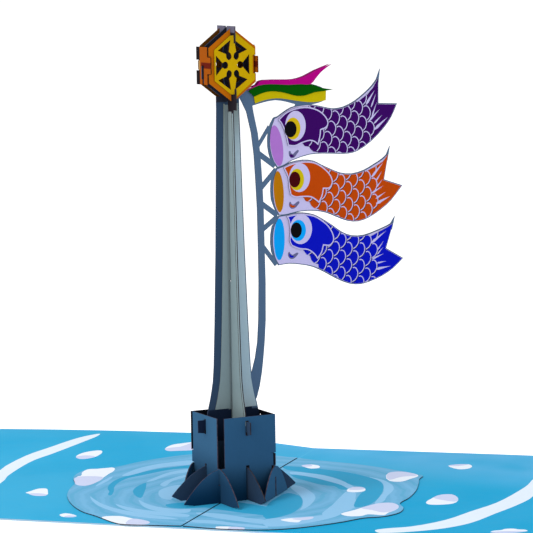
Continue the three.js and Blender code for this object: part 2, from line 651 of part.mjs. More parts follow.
// ------------------------------------------------------------------- ribbons
// Columns: s, z, 1 at a sharp corner.
const RIBBON_BACKING = [
  [7.2, 138.7, 1], [10.6, 140.1], [16, 140.9], [24, 140.6], [31.4, 140], [35.5, 138.8],
  [37.6, 137.7, 1], [37.6, 134.2, 1], [34.9, 133.3], [31.5, 132.8], [27.1, 132.85],
  [22.5, 134.1], [18.0, 134.85], [13.5, 134.3], [9.1, 133.3, 1],
];

// From the layer next to the backing outwards.
const RIBBONS = {
  yellow: [
    [9.4, 138.3, 1], [14, 139], [20, 138.7], [26, 137.3], [33, 137.7], [37.6, 137.4, 1],
    [37.45, 134.05, 1], [34.1, 133.6], [30.3, 133.7], [25.1, 134.5], [20.0, 135.4],
    [16.85, 135.45], [13.5, 135], [10.2, 134.05, 1],
  ],
  green: [
    [7.7, 138.3, 1], [9.4, 139.5], [11.3, 140.3], [16.2, 141], [22.6, 140.7], [31.4, 140],
    [35.5, 138.45], [40.3, 137.7, 1], [36.8, 137.3], [32.9, 136.95], [29.3, 136.05],
    [26.4, 136], [23.8, 136.6], [20.0, 137.6], [16.1, 138], [12.8, 137.5], [9.8, 136.4, 1],
  ],
  magenta: [
    [6.9, 138.6, 1], [8.3, 139.5], [9.9, 140.1], [10.9, 140.5], [11.7, 141.5],
    [13.65, 141.95], [21.3, 141.8], [25.2, 141.8], [29.1, 142.65], [33.3, 144.45],
    [39.6, 146.5, 1], [35.6, 144], [33.3, 141.7], [31.3, 139.8], [27.5, 140],
    [22.6, 139.95], [16.2, 140.45], [11.4, 140.2],
  ],
};

// Three ribbons, overlapping like tiles, on both sides.
const addRibbons = (group) => {
  Object.entries(RIBBONS).forEach(([key, points], layer) => {
    const at = PRINT_AT + layer * PRINT_PITCH;
    FACES.forEach(([face, side]) => {
      const geometry = sheet(outline(points), PRINT_THICK, side * at);
      put(group, `${key}_ribbon_${face}`, geometry, COLOURS[key]);
    });
  });
};

// ----------------------------------------------------------- arm on the A slat
// Columns: s, z. Up the outer edge, then down the inner one.
const ARM_INNER = [
  [3.6, 137.6], [5.1, 135.2], [7.0, 131.4], [8.7, 124.1], [9.6, 116.5], [10.1, 107.3],
  [10.5, 98], [10.65, 83.1], [10.65, 73.1], [10.3, 59.8], [9.75, 52.2], [8.75, 46.7],
  [7.4, 42.1], [6.2, 39.1], [5.0, 36.1],
];
const ARM_OUTER = [
  [8.9, 32.5], [9.3, 33.3], [10.4, 37], [11.35, 41.8], [11.95, 46.5], [12.55, 52],
  [13.1, 59.6], [13.3, 72.7], [13.15, 82.7], [13.0, 97.9], [12.65, 107.1], [12.1, 116.4],
  [11.2, 124], [9.7, 131], [9.2, 134.1], [8.2, 139.3], [5.5, 140.6],
];

// Columns: start [s, z], end [s, z], width.
const STRUTS = [
  // arm to fish
  [[10.6, 118.6], [15.7, 126.0], 1.3], [[11.2, 117.1], [17.6, 112.4], 1.9],
  [[11.6, 104.6], [18.0, 111.1], 1.7], [[11.9, 100], [18.2, 95.4], 1.8],
  [[12.0, 90.5], [18.4, 95], 1.7], [[12.3, 85.2], [17.6, 78.4], 1.6],
  // fish to fish, and the upper fish to the ribbons
  [[21, 113.5], [22.4, 111.7], 2.4], [[21, 96.5], [21, 94.1], 2.4],
  [[27.6, 131.7], [28.2, 134.3], 4.2],
];

// ---------------------------------------------------------------- pole slats
// Middle A slat: feet, lock tabs, pole, arm, fish and ribbon backing and the
// wheel's middle hexagon, cut from one sheet.
const poleASlat = () => cutAll(joinAll([
  ...poleParts(),
  ...wheelMiddle(),
  // joins the pole's top to the hexagon
  plate(-POLE_TOP_HALF, POLE_TOP_HALF, 132, 137),
  sheetSolid(vectors([...ARM_OUTER, ...ARM_INNER])),
  ...STRUTS.map(([start, end, width]) => strip(start, end, width)),
  ...Object.values(FISH).flatMap(fishBacking),
  sheetSolid(outline(RIBBON_BACKING)),
]), [slot(0, BELOW_ALL, SPLIT_Z + SPLIT_OVERLAP)]);

// Middle B slat: feet, lock tabs, pole and the wheel's hooks. Its long slot runs
// out through the top, so the two halves are joined only below the slot.
const poleBSlat = () => cutAll(
  joinAll([...poleParts(), ...wheelHooks()]),
  [slot(0, SPLIT_Z - SPLIT_OVERLAP, ABOVE_ALL)],
);

const addPole = () => {
  const groupA = uprightGroup(ALONG_A, ALONG_B, 0);
  putSolid(groupA, 'pole_slat_with_arm', poleASlat(), COLOURS.slate);
  addPoleOverlays(groupA, A_OVERLAYS, A_OVERLAY_RANGE);
  addFish(groupA);
  addRibbons(groupA);

  const groupB = uprightGroup(ALONG_B, ALONG_A, 0);
  putSolid(groupB, 'pole_cross_slat', poleBSlat(), COLOURS.slateDark);
  addPoleOverlays(groupB, B_OVERLAYS, B_OVERLAY_RANGE);
};

// ------------------------------------------------------------------ assembly
addCover('left_cover', -PANEL_WIDTH, -SPINE_GAP);
addCover('right_cover', SPINE_GAP, PANEL_WIDTH);
addRipple('left_ripple_sheet', RIPPLE_LEFT);
addRipple('right_ripple_sheet', RIPPLE_RIGHT);
addBracket('left_hinge_bracket', -BOX_CORNER);
addBracket('right_hinge_bracket', BOX_CORNER);
addFaces();
addPole();
addWheelPlate('front', 1, frontNotches);
addWheelPlate('back', -1, backNotches);
addWheelStrip('wheel_left_strip', -WHEEL_HALF, -6.5, 6.2);
addWheelStrip('wheel_right_strip', WHEEL_HALF, -5.1, 6.5);

export default card;
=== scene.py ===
"""A laser-cut paper pop-up card: an open card with a printed water ripple, and on its fold a
tower of slats that holds three fish, ribbons and a wheel.

Tables are in millimetres. The origin is the middle of the fold on the card's underside, X runs
to the right panel, Y along the fold to the back, Z up. Sheets that stand upright are drawn in
(s, z): s along ALONG from the tower's axis, z above the foot of the slats.
"""
import math

import bmesh
import bpy
import numpy as np
from mathutils import Matrix, Vector
from mathutils.geometry import delaunay_2d_cdt


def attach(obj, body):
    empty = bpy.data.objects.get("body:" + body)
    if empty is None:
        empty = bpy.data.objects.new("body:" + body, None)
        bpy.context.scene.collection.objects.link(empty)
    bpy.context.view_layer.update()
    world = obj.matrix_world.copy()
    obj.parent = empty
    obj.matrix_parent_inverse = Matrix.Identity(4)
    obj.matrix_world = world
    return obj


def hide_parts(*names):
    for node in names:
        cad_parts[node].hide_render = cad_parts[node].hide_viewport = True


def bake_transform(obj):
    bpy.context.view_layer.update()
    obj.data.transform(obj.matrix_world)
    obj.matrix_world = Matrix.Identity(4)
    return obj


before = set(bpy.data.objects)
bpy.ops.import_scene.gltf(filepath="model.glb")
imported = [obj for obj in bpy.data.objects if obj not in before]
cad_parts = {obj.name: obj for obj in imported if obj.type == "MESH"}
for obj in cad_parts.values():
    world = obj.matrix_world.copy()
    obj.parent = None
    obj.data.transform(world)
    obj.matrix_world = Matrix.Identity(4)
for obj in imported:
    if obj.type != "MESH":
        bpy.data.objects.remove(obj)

scene = bpy.context.scene
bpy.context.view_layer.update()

MM = 0.001
RIGHT = Vector((1, 0, 0))
UP = Vector((0, 0, 1))
ALONG = Vector((1, 1, 0)) / math.sqrt(2)    # to the back right
ACROSS = Vector((1, -1, 0)) / math.sqrt(2)  # to the front right
TOWER = Vector((0, -19.9, 0.95))            # foot of the tower's axis
POLE_ALONG = -14.07                         # the tower's axis, measured along ALONG
POLE_ACROSS = -POLE_ALONG                   # and along ACROSS

CARD_X, CARD_Y = 200, 75                    # half size of the open card
CARD_LAYER = (0.0, 0.5)                     # underside and printed side, above the table
RIPPLE_LAYER = (0.55, 0.85)
# Fish layers, distances from the middle plane of the tower's slat: inner and printed side.
FISH_BASE = (0.225, 0.365)
FISH_SCALES = (FISH_BASE[1], 0.475)
FISH_FACE = (0.525, 0.775)

# ------------------------------------------------------------------ drawn outlines
# Outline points are (s, z) or (x, y); a third element 1 marks a sharp corner.
# scale_at, scale_along, scale_down: origin and steps of the lattice of scales; scale_arc: one
# scale line from its lattice point; scale_end: last s of the lattice; scale_gap: no scales
# beyond this s and z. colour_from: region that takes the coloured sheet. streaks: (foot, tip,
# width). tail_edge: upper limit of the colour. mouth, eye, iris, pupil: (s, z, radius, radius).
FISH = {
    "upper": {
        "outline": [(17.6, 128.5, 1), (18.8, 129), (21.1, 130.4), (24.05, 131.9), (27.8, 132.55), (31.6, 132.6),
            (36.05, 131.7), (40, 130.85), (44.25, 131.2), (48.95, 133.1), (52.85, 135.7), (55.9, 138.2),
            (58.15, 140.9, 1), (57.95, 131.9, 1), (65.2, 131.5, 1), (63.06, 127.3), (60, 123.6), (55, 119.3),
            (49.6, 116.2), (46.1, 115.5), (41.9, 115.6), (36, 116), (30.9, 115.9), (24.1, 114.2), (20.8, 112.65),
            (18.5, 112.05, 1), (16.9, 114.6), (15.75, 119.3), (16.1, 124.5)],
        "head": [(18.76, 128.2, 1), (21.9, 130.6), (26.1, 131.9), (30.3, 132.05), (34.5, 130.75), (37.2, 128.5),
            (38.2, 126.2), (37.4, 124.7), (35.25, 123.9, 1), (35, 121.85), (34.1, 118.7, 1), (32.6, 119.9),
            (31, 120.35), (28, 119.8), (25.1, 118.8), (22.4, 119.1, 1), (21.6, 122.5), (20.2, 126.3)],
        "scale_at": (42.87, 128.55), "scale_along": (3.023, -1.923), "scale_down": (-1.54, -3.49),
        "scale_arc": [(0.22, -0.48), (0.76, -0.22), (1.4, -0.25), (2.04, -0.67), (2.59, -1.46),
            (2.86, -2.41), (2.76, -3.37), (2.37, -4.35), (1.5, -5.22)],
        "scale_end": 54.6, "scale_gap": (52.6, 133),
        "colour_from": [(31.52, 137.81), (30.45, 130.99), (29.2, 125.89), (28.13, 119.76), (29.08, 118.61),
            (30.74, 118.39), (31.39, 117.36), (32.35, 116.59), (34.09, 116.29), (35.55, 110.07),
            (74.4, 108.02), (74.85, 146.51), (35.37, 147.94)],
        "streaks": [((53.15, 131.87), (56.66, 136.78), 0.96), ((55.19, 130.95), (57.24, 135.72), 0.56),
            ((55.38, 127.47), (57.52, 132.76), 0.56), ((54.26, 126.13), (58.59, 130.1), 0.74),
            ((56.22, 125.17), (59.56, 128.05), 0.63), ((56.39, 123.08), (61.81, 127.25), 1.04)],
        "tick": [(22.87, 117.1), (22.96, 115.62), (23.83, 114.75), (24.96, 114.96), (25.86, 115.92),
            (26.73, 117.08), (26.47, 117.47), (25.38, 116.94), (24.4, 116.16), (23.75, 116.54), (23.45, 117.24)],
        "tick_core": [(23.24, 116.05), (23.42, 115.25), (23.99, 115.01), (24.96, 115.38), (24.47, 115.75),
            (23.82, 116.09)],
        "tail_edge": [(49.81, 132.84), (53.19, 135.05), (56, 137.5), (57.74, 140.38)],
        "mouth": (18.25, 119.31, 2.33, 7.08),
        "eye": (25.37, 125.76, 3.96, 5.2),
        "iris": (24.39, 124.91, 2.87, 3.77),
        "pupil": (23.46, 124.72, 2.33, 2.79),
    },
    "middle": {
        "outline": [(18.3, 111.2, 1), (20.5, 111.9), (23.65, 113.1), (28.4, 113.7), (32.4, 113.15), (35.1, 111.8),
            (38.7, 110.15), (42.65, 108.55), (47.45, 107.95), (52.3, 108.95), (56.4, 110.85), (59.7, 112.6),
            (61.75, 114.3, 1), (59.8, 105.3, 1), (66.9, 102.9, 1), (62.7, 98.3), (58.6, 95.3), (53.7, 92.75),
            (49.65, 91.7), (45.65, 92.1), (41.2, 93.8), (37.65, 95.3), (32.9, 96.35), (27.3, 96.5),
            (21.4, 95.65), (18.9, 95.55, 1), (17.3, 98.6), (16.6, 103.8), (17.1, 108.3)],
        "head": [(20.5, 111.8, 1), (23.65, 112.85), (28.4, 113.4), (32.4, 112.9), (36.3, 110.75), (39, 107.8),
            (39.55, 105.65), (38.4, 103.65), (36, 103.55, 1), (35.5, 101.3), (34.1, 98.7, 1), (32.9, 99.7),
            (31, 100.85), (27.4, 101.2), (25, 101.2), (23.1, 102, 1), (22.5, 104.85), (22.2, 108)],
        "scale_at": (44.89, 105.93), "scale_along": (2.647, -2.64), "scale_down": (-2.36, -2.975),
        "scale_arc": [(0.11, -0.52), (0.7, -0.38), (1.31, -0.54), (1.85, -1.09), (2.22, -1.98),
            (2.28, -2.97), (1.97, -3.88), (1.38, -4.76), (0.34, -5.42)],
        "scale_end": 55.4, "scale_gap": None,
        "colour_from": [(31.77, 117.17), (30.88, 110.32), (28.86, 105.25), (27.83, 101.51), (29.15, 99.61),
            (30.59, 99.28), (31.26, 97.93), (32.42, 97.03), (34.17, 96.58), (34.8, 87.59), (74.13, 85.12),
            (74.53, 118.55), (34.94, 120.46)],
        "streaks": [((54.98, 106.5), (59.73, 111.48), 0.89), ((56.74, 105.11), (59.18, 108.47), 0.48),
            ((56.83, 102.84), (59.26, 105.5), 0.48), ((54.9, 100.92), (59.71, 103.34), 0.67),
            ((56.66, 99), (60.59, 101.12), 0.63), ((56.76, 97.21), (62.25, 99.49), 1.04)],
        "tick": [(22.76, 99.56), (22.66, 98.36), (23.5, 97.38), (24.77, 97.44), (25.83, 98.24), (26.75, 99.43),
            (26.25, 99.81), (25.19, 99.25), (24.29, 98.75), (23.57, 99.13), (23.27, 99.77)],
        "tick_core": [(22.94, 98.86), (23.16, 98.05), (24.08, 97.72), (25.25, 98.21), (24.68, 98.41), (23.9, 98.49),
            (23.33, 98.94)],
        "tail_edge": [(52.82, 108.64), (56.61, 110.18), (59.62, 111.77), (61.36, 113.77)],
        "mouth": (18.74, 103.51, 1.92, 7.12),
        "eye": (26.66, 107.96, 4.07, 4.99),
        "iris": (25.6, 107.33, 2.79, 3.73),
        "pupil": (24.79, 107.37, 2.17, 2.72),
    },
    "lower": {
        "outline": [(18.8, 94.85, 1), (21.4, 95.05), (24.55, 95.55), (28.1, 95.5), (32.1, 94.65), (34.8, 93.3),
            (39.2, 90.6), (43.1, 87.9), (47.1, 86.4), (52, 86.3), (57.3, 87.7), (61.4, 89.1), (63.35, 90, 1),
            (60.3, 81.25, 1), (66.95, 77.4, 1), (63.3, 74.4), (59.1, 72.1), (53.8, 70.3), (50.1, 69.65),
            (46.1, 70.1), (41.3, 72.05), (36.5, 74.7), (31.8, 76.95), (27, 78.1), (22.3, 78.7), (18.5, 78.4, 1),
            (17.2, 80.7), (16.25, 86), (16.9, 91.4)],
        "head": [(21.4, 94.9, 1), (24.55, 95.35), (28.1, 95.3), (32.1, 94.5), (35.2, 92.75), (38, 90.3), (39.7, 87),
            (39.7, 85.25), (38.2, 83.75), (35.7, 83.9, 1), (35, 81.65), (33.2, 79.3, 1), (31.85, 81.1),
            (29.5, 82.7), (26.3, 83.25), (23.2, 84.5, 1), (22.4, 86.3), (22.7, 89.8), (22.2, 93.4)],
        "scale_at": (44.97, 84.86), "scale_along": (2.37, -3.167), "scale_down": (-2.635, -2.62),
        "scale_arc": [(0.06, -0.52), (0.65, -0.44), (1.25, -0.67), (1.73, -1.27), (2.01, -2.19),
            (1.98, -3.18), (1.58, -4.06), (0.91, -4.87), (-0.19, -5.43)],
        "scale_end": 55.4, "scale_gap": None,
        "colour_from": [(32.27, 99.88), (31.38, 93), (28.96, 87.96), (27.9, 82.82), (29.05, 81.26), (30.52, 80.64),
            (30.96, 79.15), (31.92, 78.12), (33.67, 77.51), (34.5, 68.47), (73.91, 65.66), (74.26, 95.7),
            (34.61, 99.74)],
        "streaks": [((54.38, 83.45), (60.7, 87.55), 0.96), ((57.01, 80.93), (59.57, 84), 0.52),
            ((56.91, 79.43), (59.34, 81.83), 0.48), ((54.9, 77.91), (59.51, 79.54), 0.67),
            ((56.75, 76.38), (60.55, 76.83), 0.59), ((56.33, 74.3), (62.13, 74.96), 0.96)],
        "tick": [(22.08, 82.34), (21.98, 81.13), (22.85, 80.11), (24.17, 80.09), (25.07, 80.72), (26.02, 81.8),
            (25.45, 82.08), (24.43, 81.67), (23.61, 81.44), (22.88, 81.91), (22.51, 82.55)],
        "tick_core": [(22.42, 81.63), (22.63, 80.75), (23.48, 80.45), (24.38, 80.77), (23.8, 81.01), (23.03, 81.41),
            (22.73, 81.85)],
        "tail_edge": [(54.49, 85.9), (57.7, 87.28), (60.91, 88.59), (62.92, 89.69)],
        "mouth": (18.69, 87.08, 2.08, 7.19),
        "eye": (26.86, 90.13, 4.34, 5.16),
        "iris": (25.89, 89.78, 2.95, 3.66),
        "pupil": (25.07, 89.89, 2.17, 2.69),
    },
}
# Pale arcs on the card around the ripple: left, far left, right.
COVER_ARCS = [
    [(-98.3, 5.9), (-97.9, 28.9), (-93.3, 42.5), (-90.2, 51.9), (-86.7, 60.3), (-82.6, 65.4), (-82, 59.8),
     (-83.3, 53.4), (-86.3, 42), (-89.2, 32.5), (-92.2, 23.3), (-92.8, 10.2), (-91, -5.1), (-90.5, -6.5)],
    [(-98.5, 6.3), (-97.5, -12), (-93, -33), (-86, -50), (-77, -63), (-68, -70), (-72, -60), (-80, -45),
     (-87, -24), (-91, -5)],
    [(62.9, -64), (65.3, -60.7), (72.6, -55.6), (80.7, -42.9), (85.3, -27.3), (90.1, -11.3), (92.7, 10.1),
     (93.5, 21.7), (93.2, 30.7), (99.6, 3.1), (98, -12.4), (94.3, -28.1), (90, -45.6), (84, -55.6),
     (77.1, -61.9), (68.4, -67.2), (65.7, -67.9)],
]
# Foam clouds: (whole outline, outline of the shaded part).
COVER_FOAM = [
    ([(-78.4, 30.1), (-78.1, 35.1), (-75.4, 38.5), (-72.4, 39.7), (-70.8, 37.3), (-71.1, 31), (-73.8, 27.7),
     (-76, 27.4)],
     [(-78.4, 30.1), (-75.7, 32.4), (-71.3, 31.5), (-73.8, 27.7), (-76, 27.4)]),
    ([(-72.7, -31.6), (-72.2, -28.2), (-71.1, -23.2), (-68.7, -22.6), (-66.3, -26.9), (-64, -34.2),
     (-67.1, -35.9), (-71, -32.7)],
     [(-71, -32.7), (-69, -31.3), (-64.7, -32.2), (-64, -34.8), (-67.1, -35.9)]),
    ([(-46.7, -64.4), (-45.6, -61.7), (-40.4, -64.9), (-40.7, -67.3), (-43.8, -67.8)],
     [(-43.8, -67.8), (-43.4, -65), (-40.7, -65), (-40.7, -67.3)]),
    ([(-49, 45.3), (-48.3, 50.7), (-45.9, 53.4), (-41.5, 57.9), (-37.7, 56.8), (-35.7, 49.1), (-38.7, 46.2),
     (-43.7, 43.5), (-46.9, 42.3)],
     [(-49, 45.3), (-44.4, 49.3), (-41.5, 57.9), (-37.7, 56.8), (-35.7, 49.1), (-38.7, 46.2), (-43.7, 43.5),
     (-46.9, 42.3)]),
    ([(58, 48.2), (59.9, 50.8), (64.6, 51.8), (66.9, 48), (66.1, 43.8), (63.2, 42.7)],
     [(58, 48.2), (59.9, 50.8), (64.6, 51.8), (61.8, 48.2)]),
    ([(66.9, -15.3), (67, -9.2), (68.5, -1.3), (71.8, 0), (76, -7.1), (76.4, -15.2), (72.5, -18.5),
     (68.7, -18.8)],
     [(67.5, -7.6), (68.5, -1.3), (71.8, 0), (76, -7.1), (76.2, -12.2), (72.9, -11.2)]),
]
# Outer foam clouds, all of one lobed shape: (x, y, half width, half height, turn in radians).
OUTER_FOAM = [
    (120, 30, 7, 4, 0.3), (135, -30, 8, 4.5, -0.2), (160, 15, 6, 3.5, 0.1), (-130, 30, 8, 4.5, 0.2),
    (-145, -25, 7, 4, -0.3), (-118, -52, 6, 3.4, 0.1), (105, -55, 6, 3.5, 0.4), (172, -48, 7, 4, 0.2),
    (-175, 5, 6, 3.5, 0),
]
FOAM_SHAPE = (
    [(-1, -0.2), (-0.75, 0.35), (-0.35, 0.5), (-0.1, 0.95), (0.35, 1), (0.6, 0.55), (0.95, 0.3),
     (1, -0.3), (0.5, -0.8), (-0.3, -0.9), (-0.8, -0.7)],
    [(-1, -0.2), (-0.3, 0), (0.4, -0.15), (1, -0.3), (0.5, -0.8), (-0.3, -0.9), (-0.8, -0.7)],
)
RIPPLE_FOAM = [
    ([(-65.7, -0.4), (-65, 1.1), (-66.9, 7.5), (-66.4, 12.3), (-63.5, 13.2), (-60.1, 16.3), (-57.6, 15.4),
     (-56.3, 10.6), (-56.4, 6.8), (-55.7, -1.8), (-55, -10.2), (-56.5, -16.4), (-59.6, -15.8), (-62.1, -11.9),
     (-64, -3.5)],
     [(-65.5, -0.9), (-56.7, 0.8), (-55, -10.2), (-56.5, -16.4), (-59.6, -15.8), (-62.1, -11.9)]),
    ([(-30.8, -66.1), (-25.8, -63.4), (-19.8, -66.3), (-13.4, -69.1), (-11.9, -71.6), (-12.5, -74.6),
     (-18.5, -76), (-23.4, -75.8)],
     [(-19.8, -66.3), (-13.4, -69.1), (-11.9, -71.6), (-12.5, -74.6), (-18.5, -76)]),
    ([(11.5, -72.4), (16.4, -71.2), (21.3, -72), (21.1, -74.8), (16.7, -75.6), (12.9, -75.4)],
     [(16.4, -71.2), (21.3, -72), (21.1, -74.8), (16.7, -75.6)]),
    ([(6, 38.3), (8.5, 40.5), (12.3, 38.7), (13.6, 34.4), (11.2, 32.8), (7.9, 35.4)],
     [(6, 38.3), (8.5, 40.5), (10.1, 37.5), (7.9, 35.4)]),
    ([(40.8, 30.5), (43.8, 33.3), (48.5, 31.9), (52.7, 27.1), (51.4, 21.7), (49.2, 16), (45.1, 16.4)],
     [(40.8, 30.5), (43.8, 33.3), (48.5, 31.9), (52, 27.3), (47.4, 24.6), (44.6, 18.2)]),
    ([(35.8, -4.8), (35.7, 3), (38.6, 3.6), (40.7, 1), (41.5, -3.4), (38.9, -5.9)],
     [(35.8, -1.7), (35.7, 3), (38.6, 3.6), (40.7, 1), (38.9, -1.6)]),
    ([(45, -42.6), (47.6, -35.5), (50, -27.5), (53.1, -21.6), (56.5, -20.8), (60, -25.1), (60.9, -32.3),
     (59.8, -37), (59.4, -41.4), (54, -41.3), (52.6, -44.5), (48.3, -45.8)],
     [(49, -32.2), (50, -27.5), (53.1, -21.6), (56.5, -20.8), (60, -25.1), (60.9, -32.3), (58.2, -37.3),
     (53.2, -34.1)]),
    ([(28.5, -56.9), (30.3, -54.2), (33.7, -52), (37.4, -49.6), (38.1, -52.9), (35.5, -55.8), (35.4, -59.3),
     (32.6, -59.4)],
     [(31.6, -54.5), (33.7, -52), (37.4, -49.6), (38.1, -52.9), (35.5, -55.8)]),
]
LIGHT_STROKES = [
    [(-50.4, 3.9), (-49.3, 15.5), (-45.3, 22.4), (-40.4, 27), (-33.6, 31.7), (-31.5, 26.9), (-38.5, 21.8),
    (-43.2, 16.8), (-45.7, 11.2), (-48, 5.1)],
    [(-37.9, -4.8), (-37.5, 6.6), (-35.6, 13.6), (-30.5, 19.4), (-29.4, 15.2), (-33.7, 10.1), (-35.4, 4.3),
    (-36.3, -2.1)],
    [(-31.4, -8.5), (-31.5, 2.4), (-29.1, 9.9), (-27.5, 9), (-28.3, 4), (-29.5, -1.4), (-28.8, -11.1)],
    [(-26.8, -22.7), (-28.1, -16.7), (-26.6, -9.3), (-24.3, -6.9), (-18.6, -33.2), (-22.5, -31.1)],
    [(-52.5, -16.7), (-53.8, -6.8), (-53.5, 2.5), (-52.4, -1.2), (-51.9, -11.7)],
    [(-47.6, -34), (-44.8, -37.9), (-37.8, -46.4), (-29.9, -52.6), (-18.7, -57.9), (-9, -61.4), (-4.5, -64.1),
    (-11.4, -64.8), (-19.9, -62.9), (-28.4, -58.2), (-37.4, -50.5), (-43.5, -42.2)],
    [(-34.2, -44.6), (-28.3, -48.6), (-21, -51.9), (-11.1, -54), (-3.7, -56), (-3.1, -59.4), (-12.2, -59.3),
    (-20.9, -57), (-29.1, -51.5)],
    [(-29.1, -35.8), (-25.3, -40.3), (-19.1, -45.5), (-10.3, -47.9), (-6.7, -46.7), (-5.5, -52.7), (-11.1, -54),
    (-18, -51.8), (-23.8, -46)],
    [(-2.7, -52), (6.2, -51.9), (16.1, -56.2), (24.4, -58.5), (26.3, -64.3), (15.6, -62.1), (9, -59.9),
    (0.3, -55.6)],
    [(-1.8, -64.8), (7, -62.7), (17, -66), (27.4, -67.7), (28.2, -70.3), (18.3, -69.9), (8.8, -68),
    (0.2, -67.2)],
    [(6, 25), (13.3, 25.1), (21.1, 20.3), (28.1, 13.8), (34, 6.6), (37.1, 0.2), (35.8, -1.7), (30.8, 5),
    (23.7, 11.9), (15.7, 17.5), (7.8, 20.6)],
    [(13.4, 1.9), (17.3, 0.3), (23.5, -7.7), (27.9, -16), (30, -24.7), (30.8, -35.1), (29.9, -39.7),
    (28.5, -32.6), (25.4, -22.7), (21.6, -14.4), (15.8, -4.8)],
    [(39.6, -46.2), (37.9, -28.9), (36.4, -14), (36.1, -4.7), (38.8, -5.6), (42.1, -15.7), (46.4, -31.3),
    (44.4, -40.7)],
    [(35.8, 21.7), (41.8, 18.2), (47.7, 10.2), (50.7, 1.7), (51.7, -10.3), (53, -19.2), (51.4, -24.1),
    (49.7, -13.9), (48.1, -1.9), (45.1, 6.6), (40.3, 14.8)],
    [(23.6, -57.3), (27.2, -53.5), (33.3, -50.6), (39.6, -46.2), (44, -39.3), (45.1, -44.9), (42.8, -52.7),
    (37.7, -61), (31.9, -66.6), (27.1, -67.8)],
]
DARK_STROKES = [
    [(-46.2, -21), (-48.9, -12.7), (-49.7, -0.6), (-46.7, 8.5), (-42.8, 15.7), (-37.9, 20.2), (-31.3, 25.2),
    (-29.9, 21.7), (-35.9, 18.2), (-39.9, 13.1), (-43.1, 7.7), (-46.6, 1.4), (-47.1, -7.4), (-45.6, -16.1),
    (-43, -23.4), (-41.3, -30.9), (-42.5, -30.2), (-44.5, -23.8)],
    [(-36.5, -21.9), (-38.1, -14.3), (-37.6, -6.2), (-36.1, -9.6), (-32.5, -20.9), (-29.6, -32.8),
    (-32.5, -29.7)],
    [(-17.2, -41.4), (-12.4, -36.7), (-2.3, -36), (5.5, -32.1), (12.6, -34.9), (17.5, -37.4), (21.8, -50.5),
    (14.4, -49.4), (4.2, -45.9), (-2.8, -43.1), (-7.8, -46.4), (-14, -46.1)],
    [(-0.1, 35.2), (6.4, 35), (17.6, 31.9), (26.3, 28.4), (35.8, 21.7), (42, 15.2), (45.7, 6.7), (48.4, -4.9),
    (50.2, -19.9), (49.2, -28.6), (46.7, -31.3), (43.2, -18.5), (41.5, -6.5), (40.9, 1), (38.3, 4.5), (34, 6.6),
    (27.8, 14.7), (19.5, 21.6), (9.3, 25.8), (3.1, 29.3)],
    [(7.8, 20.6), (15.7, 17.5), (23.9, 11.3), (30.5, 5.8), (35.2, -1.8), (32.9, -2.3), (28.9, 3), (24.1, 4.4),
    (16.8, 9.8), (9.8, 16.2)],
    [(17, -36.9), (15.8, -22), (17, -12.4), (21.8, -15.9), (25.4, -22.7), (28.4, -34.1), (28.8, -45.9),
    (26.1, -53.8), (23.4, -56.5)],
]
RIPPLE_OUTLINES = {
    "left": [(-0.35, -73.4, 1), (-12.3, -75), (-20.5, -75.4), (-24.9, -72.7), (-29.4, -68.6), (-34.1, -64.4),
        (-40.4, -59.3), (-48, -49.5), (-55.4, -35.8), (-59.3, -24.4), (-61.9, -12.5), (-65.4, -5.2), (-67.3, 1),
        (-67.6, 8.5), (-66, 13), (-62.1, 14.4), (-58.2, 17), (-52.3, 24.9), (-45.6, 31.7), (-37.4, 39),
        (-25.4, 46.9), (-13.1, 52), (-0.35, 53, 1)],
    "right": [(0.35, -73.4, 1), (0.35, 52.2, 1), (10, 48.5), (21.5, 45.2), (31.5, 41.2), (41.5, 36), (50, 31),
        (54, 28), (54.4, 22), (56.2, 14.4), (58.6, 2), (59.6, -10.5), (59.2, -20.7), (62.6, -28.5), (63.2, -36),
        (60, -43), (54.2, -47), (49.5, -54.5), (43, -62.5), (36.5, -68.5), (29, -72.8), (14, -75)],
}


# ------------------------------------------------------------------ curves
def spline(points, closed, count):
    """Centripetal Catmull-Rom, sampled evenly in its parameter."""
    n = len(points)
    out = []
    for k in range(count + (0 if closed else 1)):
        position = (n if closed else n - 1) * k / count
        i = int(math.floor(position + 1e-9))
        w = position - i
        if not closed and i >= n - 1:
            i, w = n - 2, 1.0
        if closed:
            knots = [points[(i + d) % n] for d in (-1, 0, 1, 2)]
        else:
            (ax, ay), (bx, by) = points[:2]
            (cx, cy), (dx, dy) = points[-2:]
            before = points[i - 1] if i > 0 else (2 * ax - bx, 2 * ay - by)
            after = points[i + 2] if i + 2 < n else (2 * dx - cx, 2 * dy - cy)
            knots = [before, points[i], points[i + 1], after]
        dt = [max(math.dist(knots[j], knots[j + 1]) ** 0.5, 1e-4) for j in range(3)]
        point = []
        for x0, x1, x2, x3 in zip(*knots):
            t1 = ((x1 - x0) / dt[0] - (x2 - x0) / (dt[0] + dt[1]) + (x2 - x1) / dt[1]) * dt[1]
            t2 = ((x2 - x1) / dt[1] - (x3 - x1) / (dt[1] + dt[2]) + (x3 - x2) / dt[2]) * dt[1]
            point.append(x1 + t1 * w + (-3 * x1 + 3 * x2 - 2 * t1 - t2) * w * w
                         + (2 * x1 - 2 * x2 + t1 + t2) * w ** 3)
        out.append(tuple(point))
    return out


def outline(points, steps):
    """A closed outline, smoothed between its sharp corners."""
    n = len(points)
    corners = [i for i, p in enumerate(points) if len(p) > 2]
    plain = [(p[0], p[1]) for p in points]
    if not corners:
        return spline(plain, True, n * steps)
    out = []
    for k, start in enumerate(corners):
        end = corners[(k + 1) % len(corners)]
        if end <= start:
            end += n
        run = [plain[i % n] for i in range(start, end + 1)]
        out += [run[0]] if len(run) == 2 else spline(run, False, (len(run) - 1) * steps)[:-1]
    return out


def area(pts):
    return sum(p[0] * q[1] - q[0] * p[1] for p, q in zip(pts, pts[1:] + pts[:1])) / 2


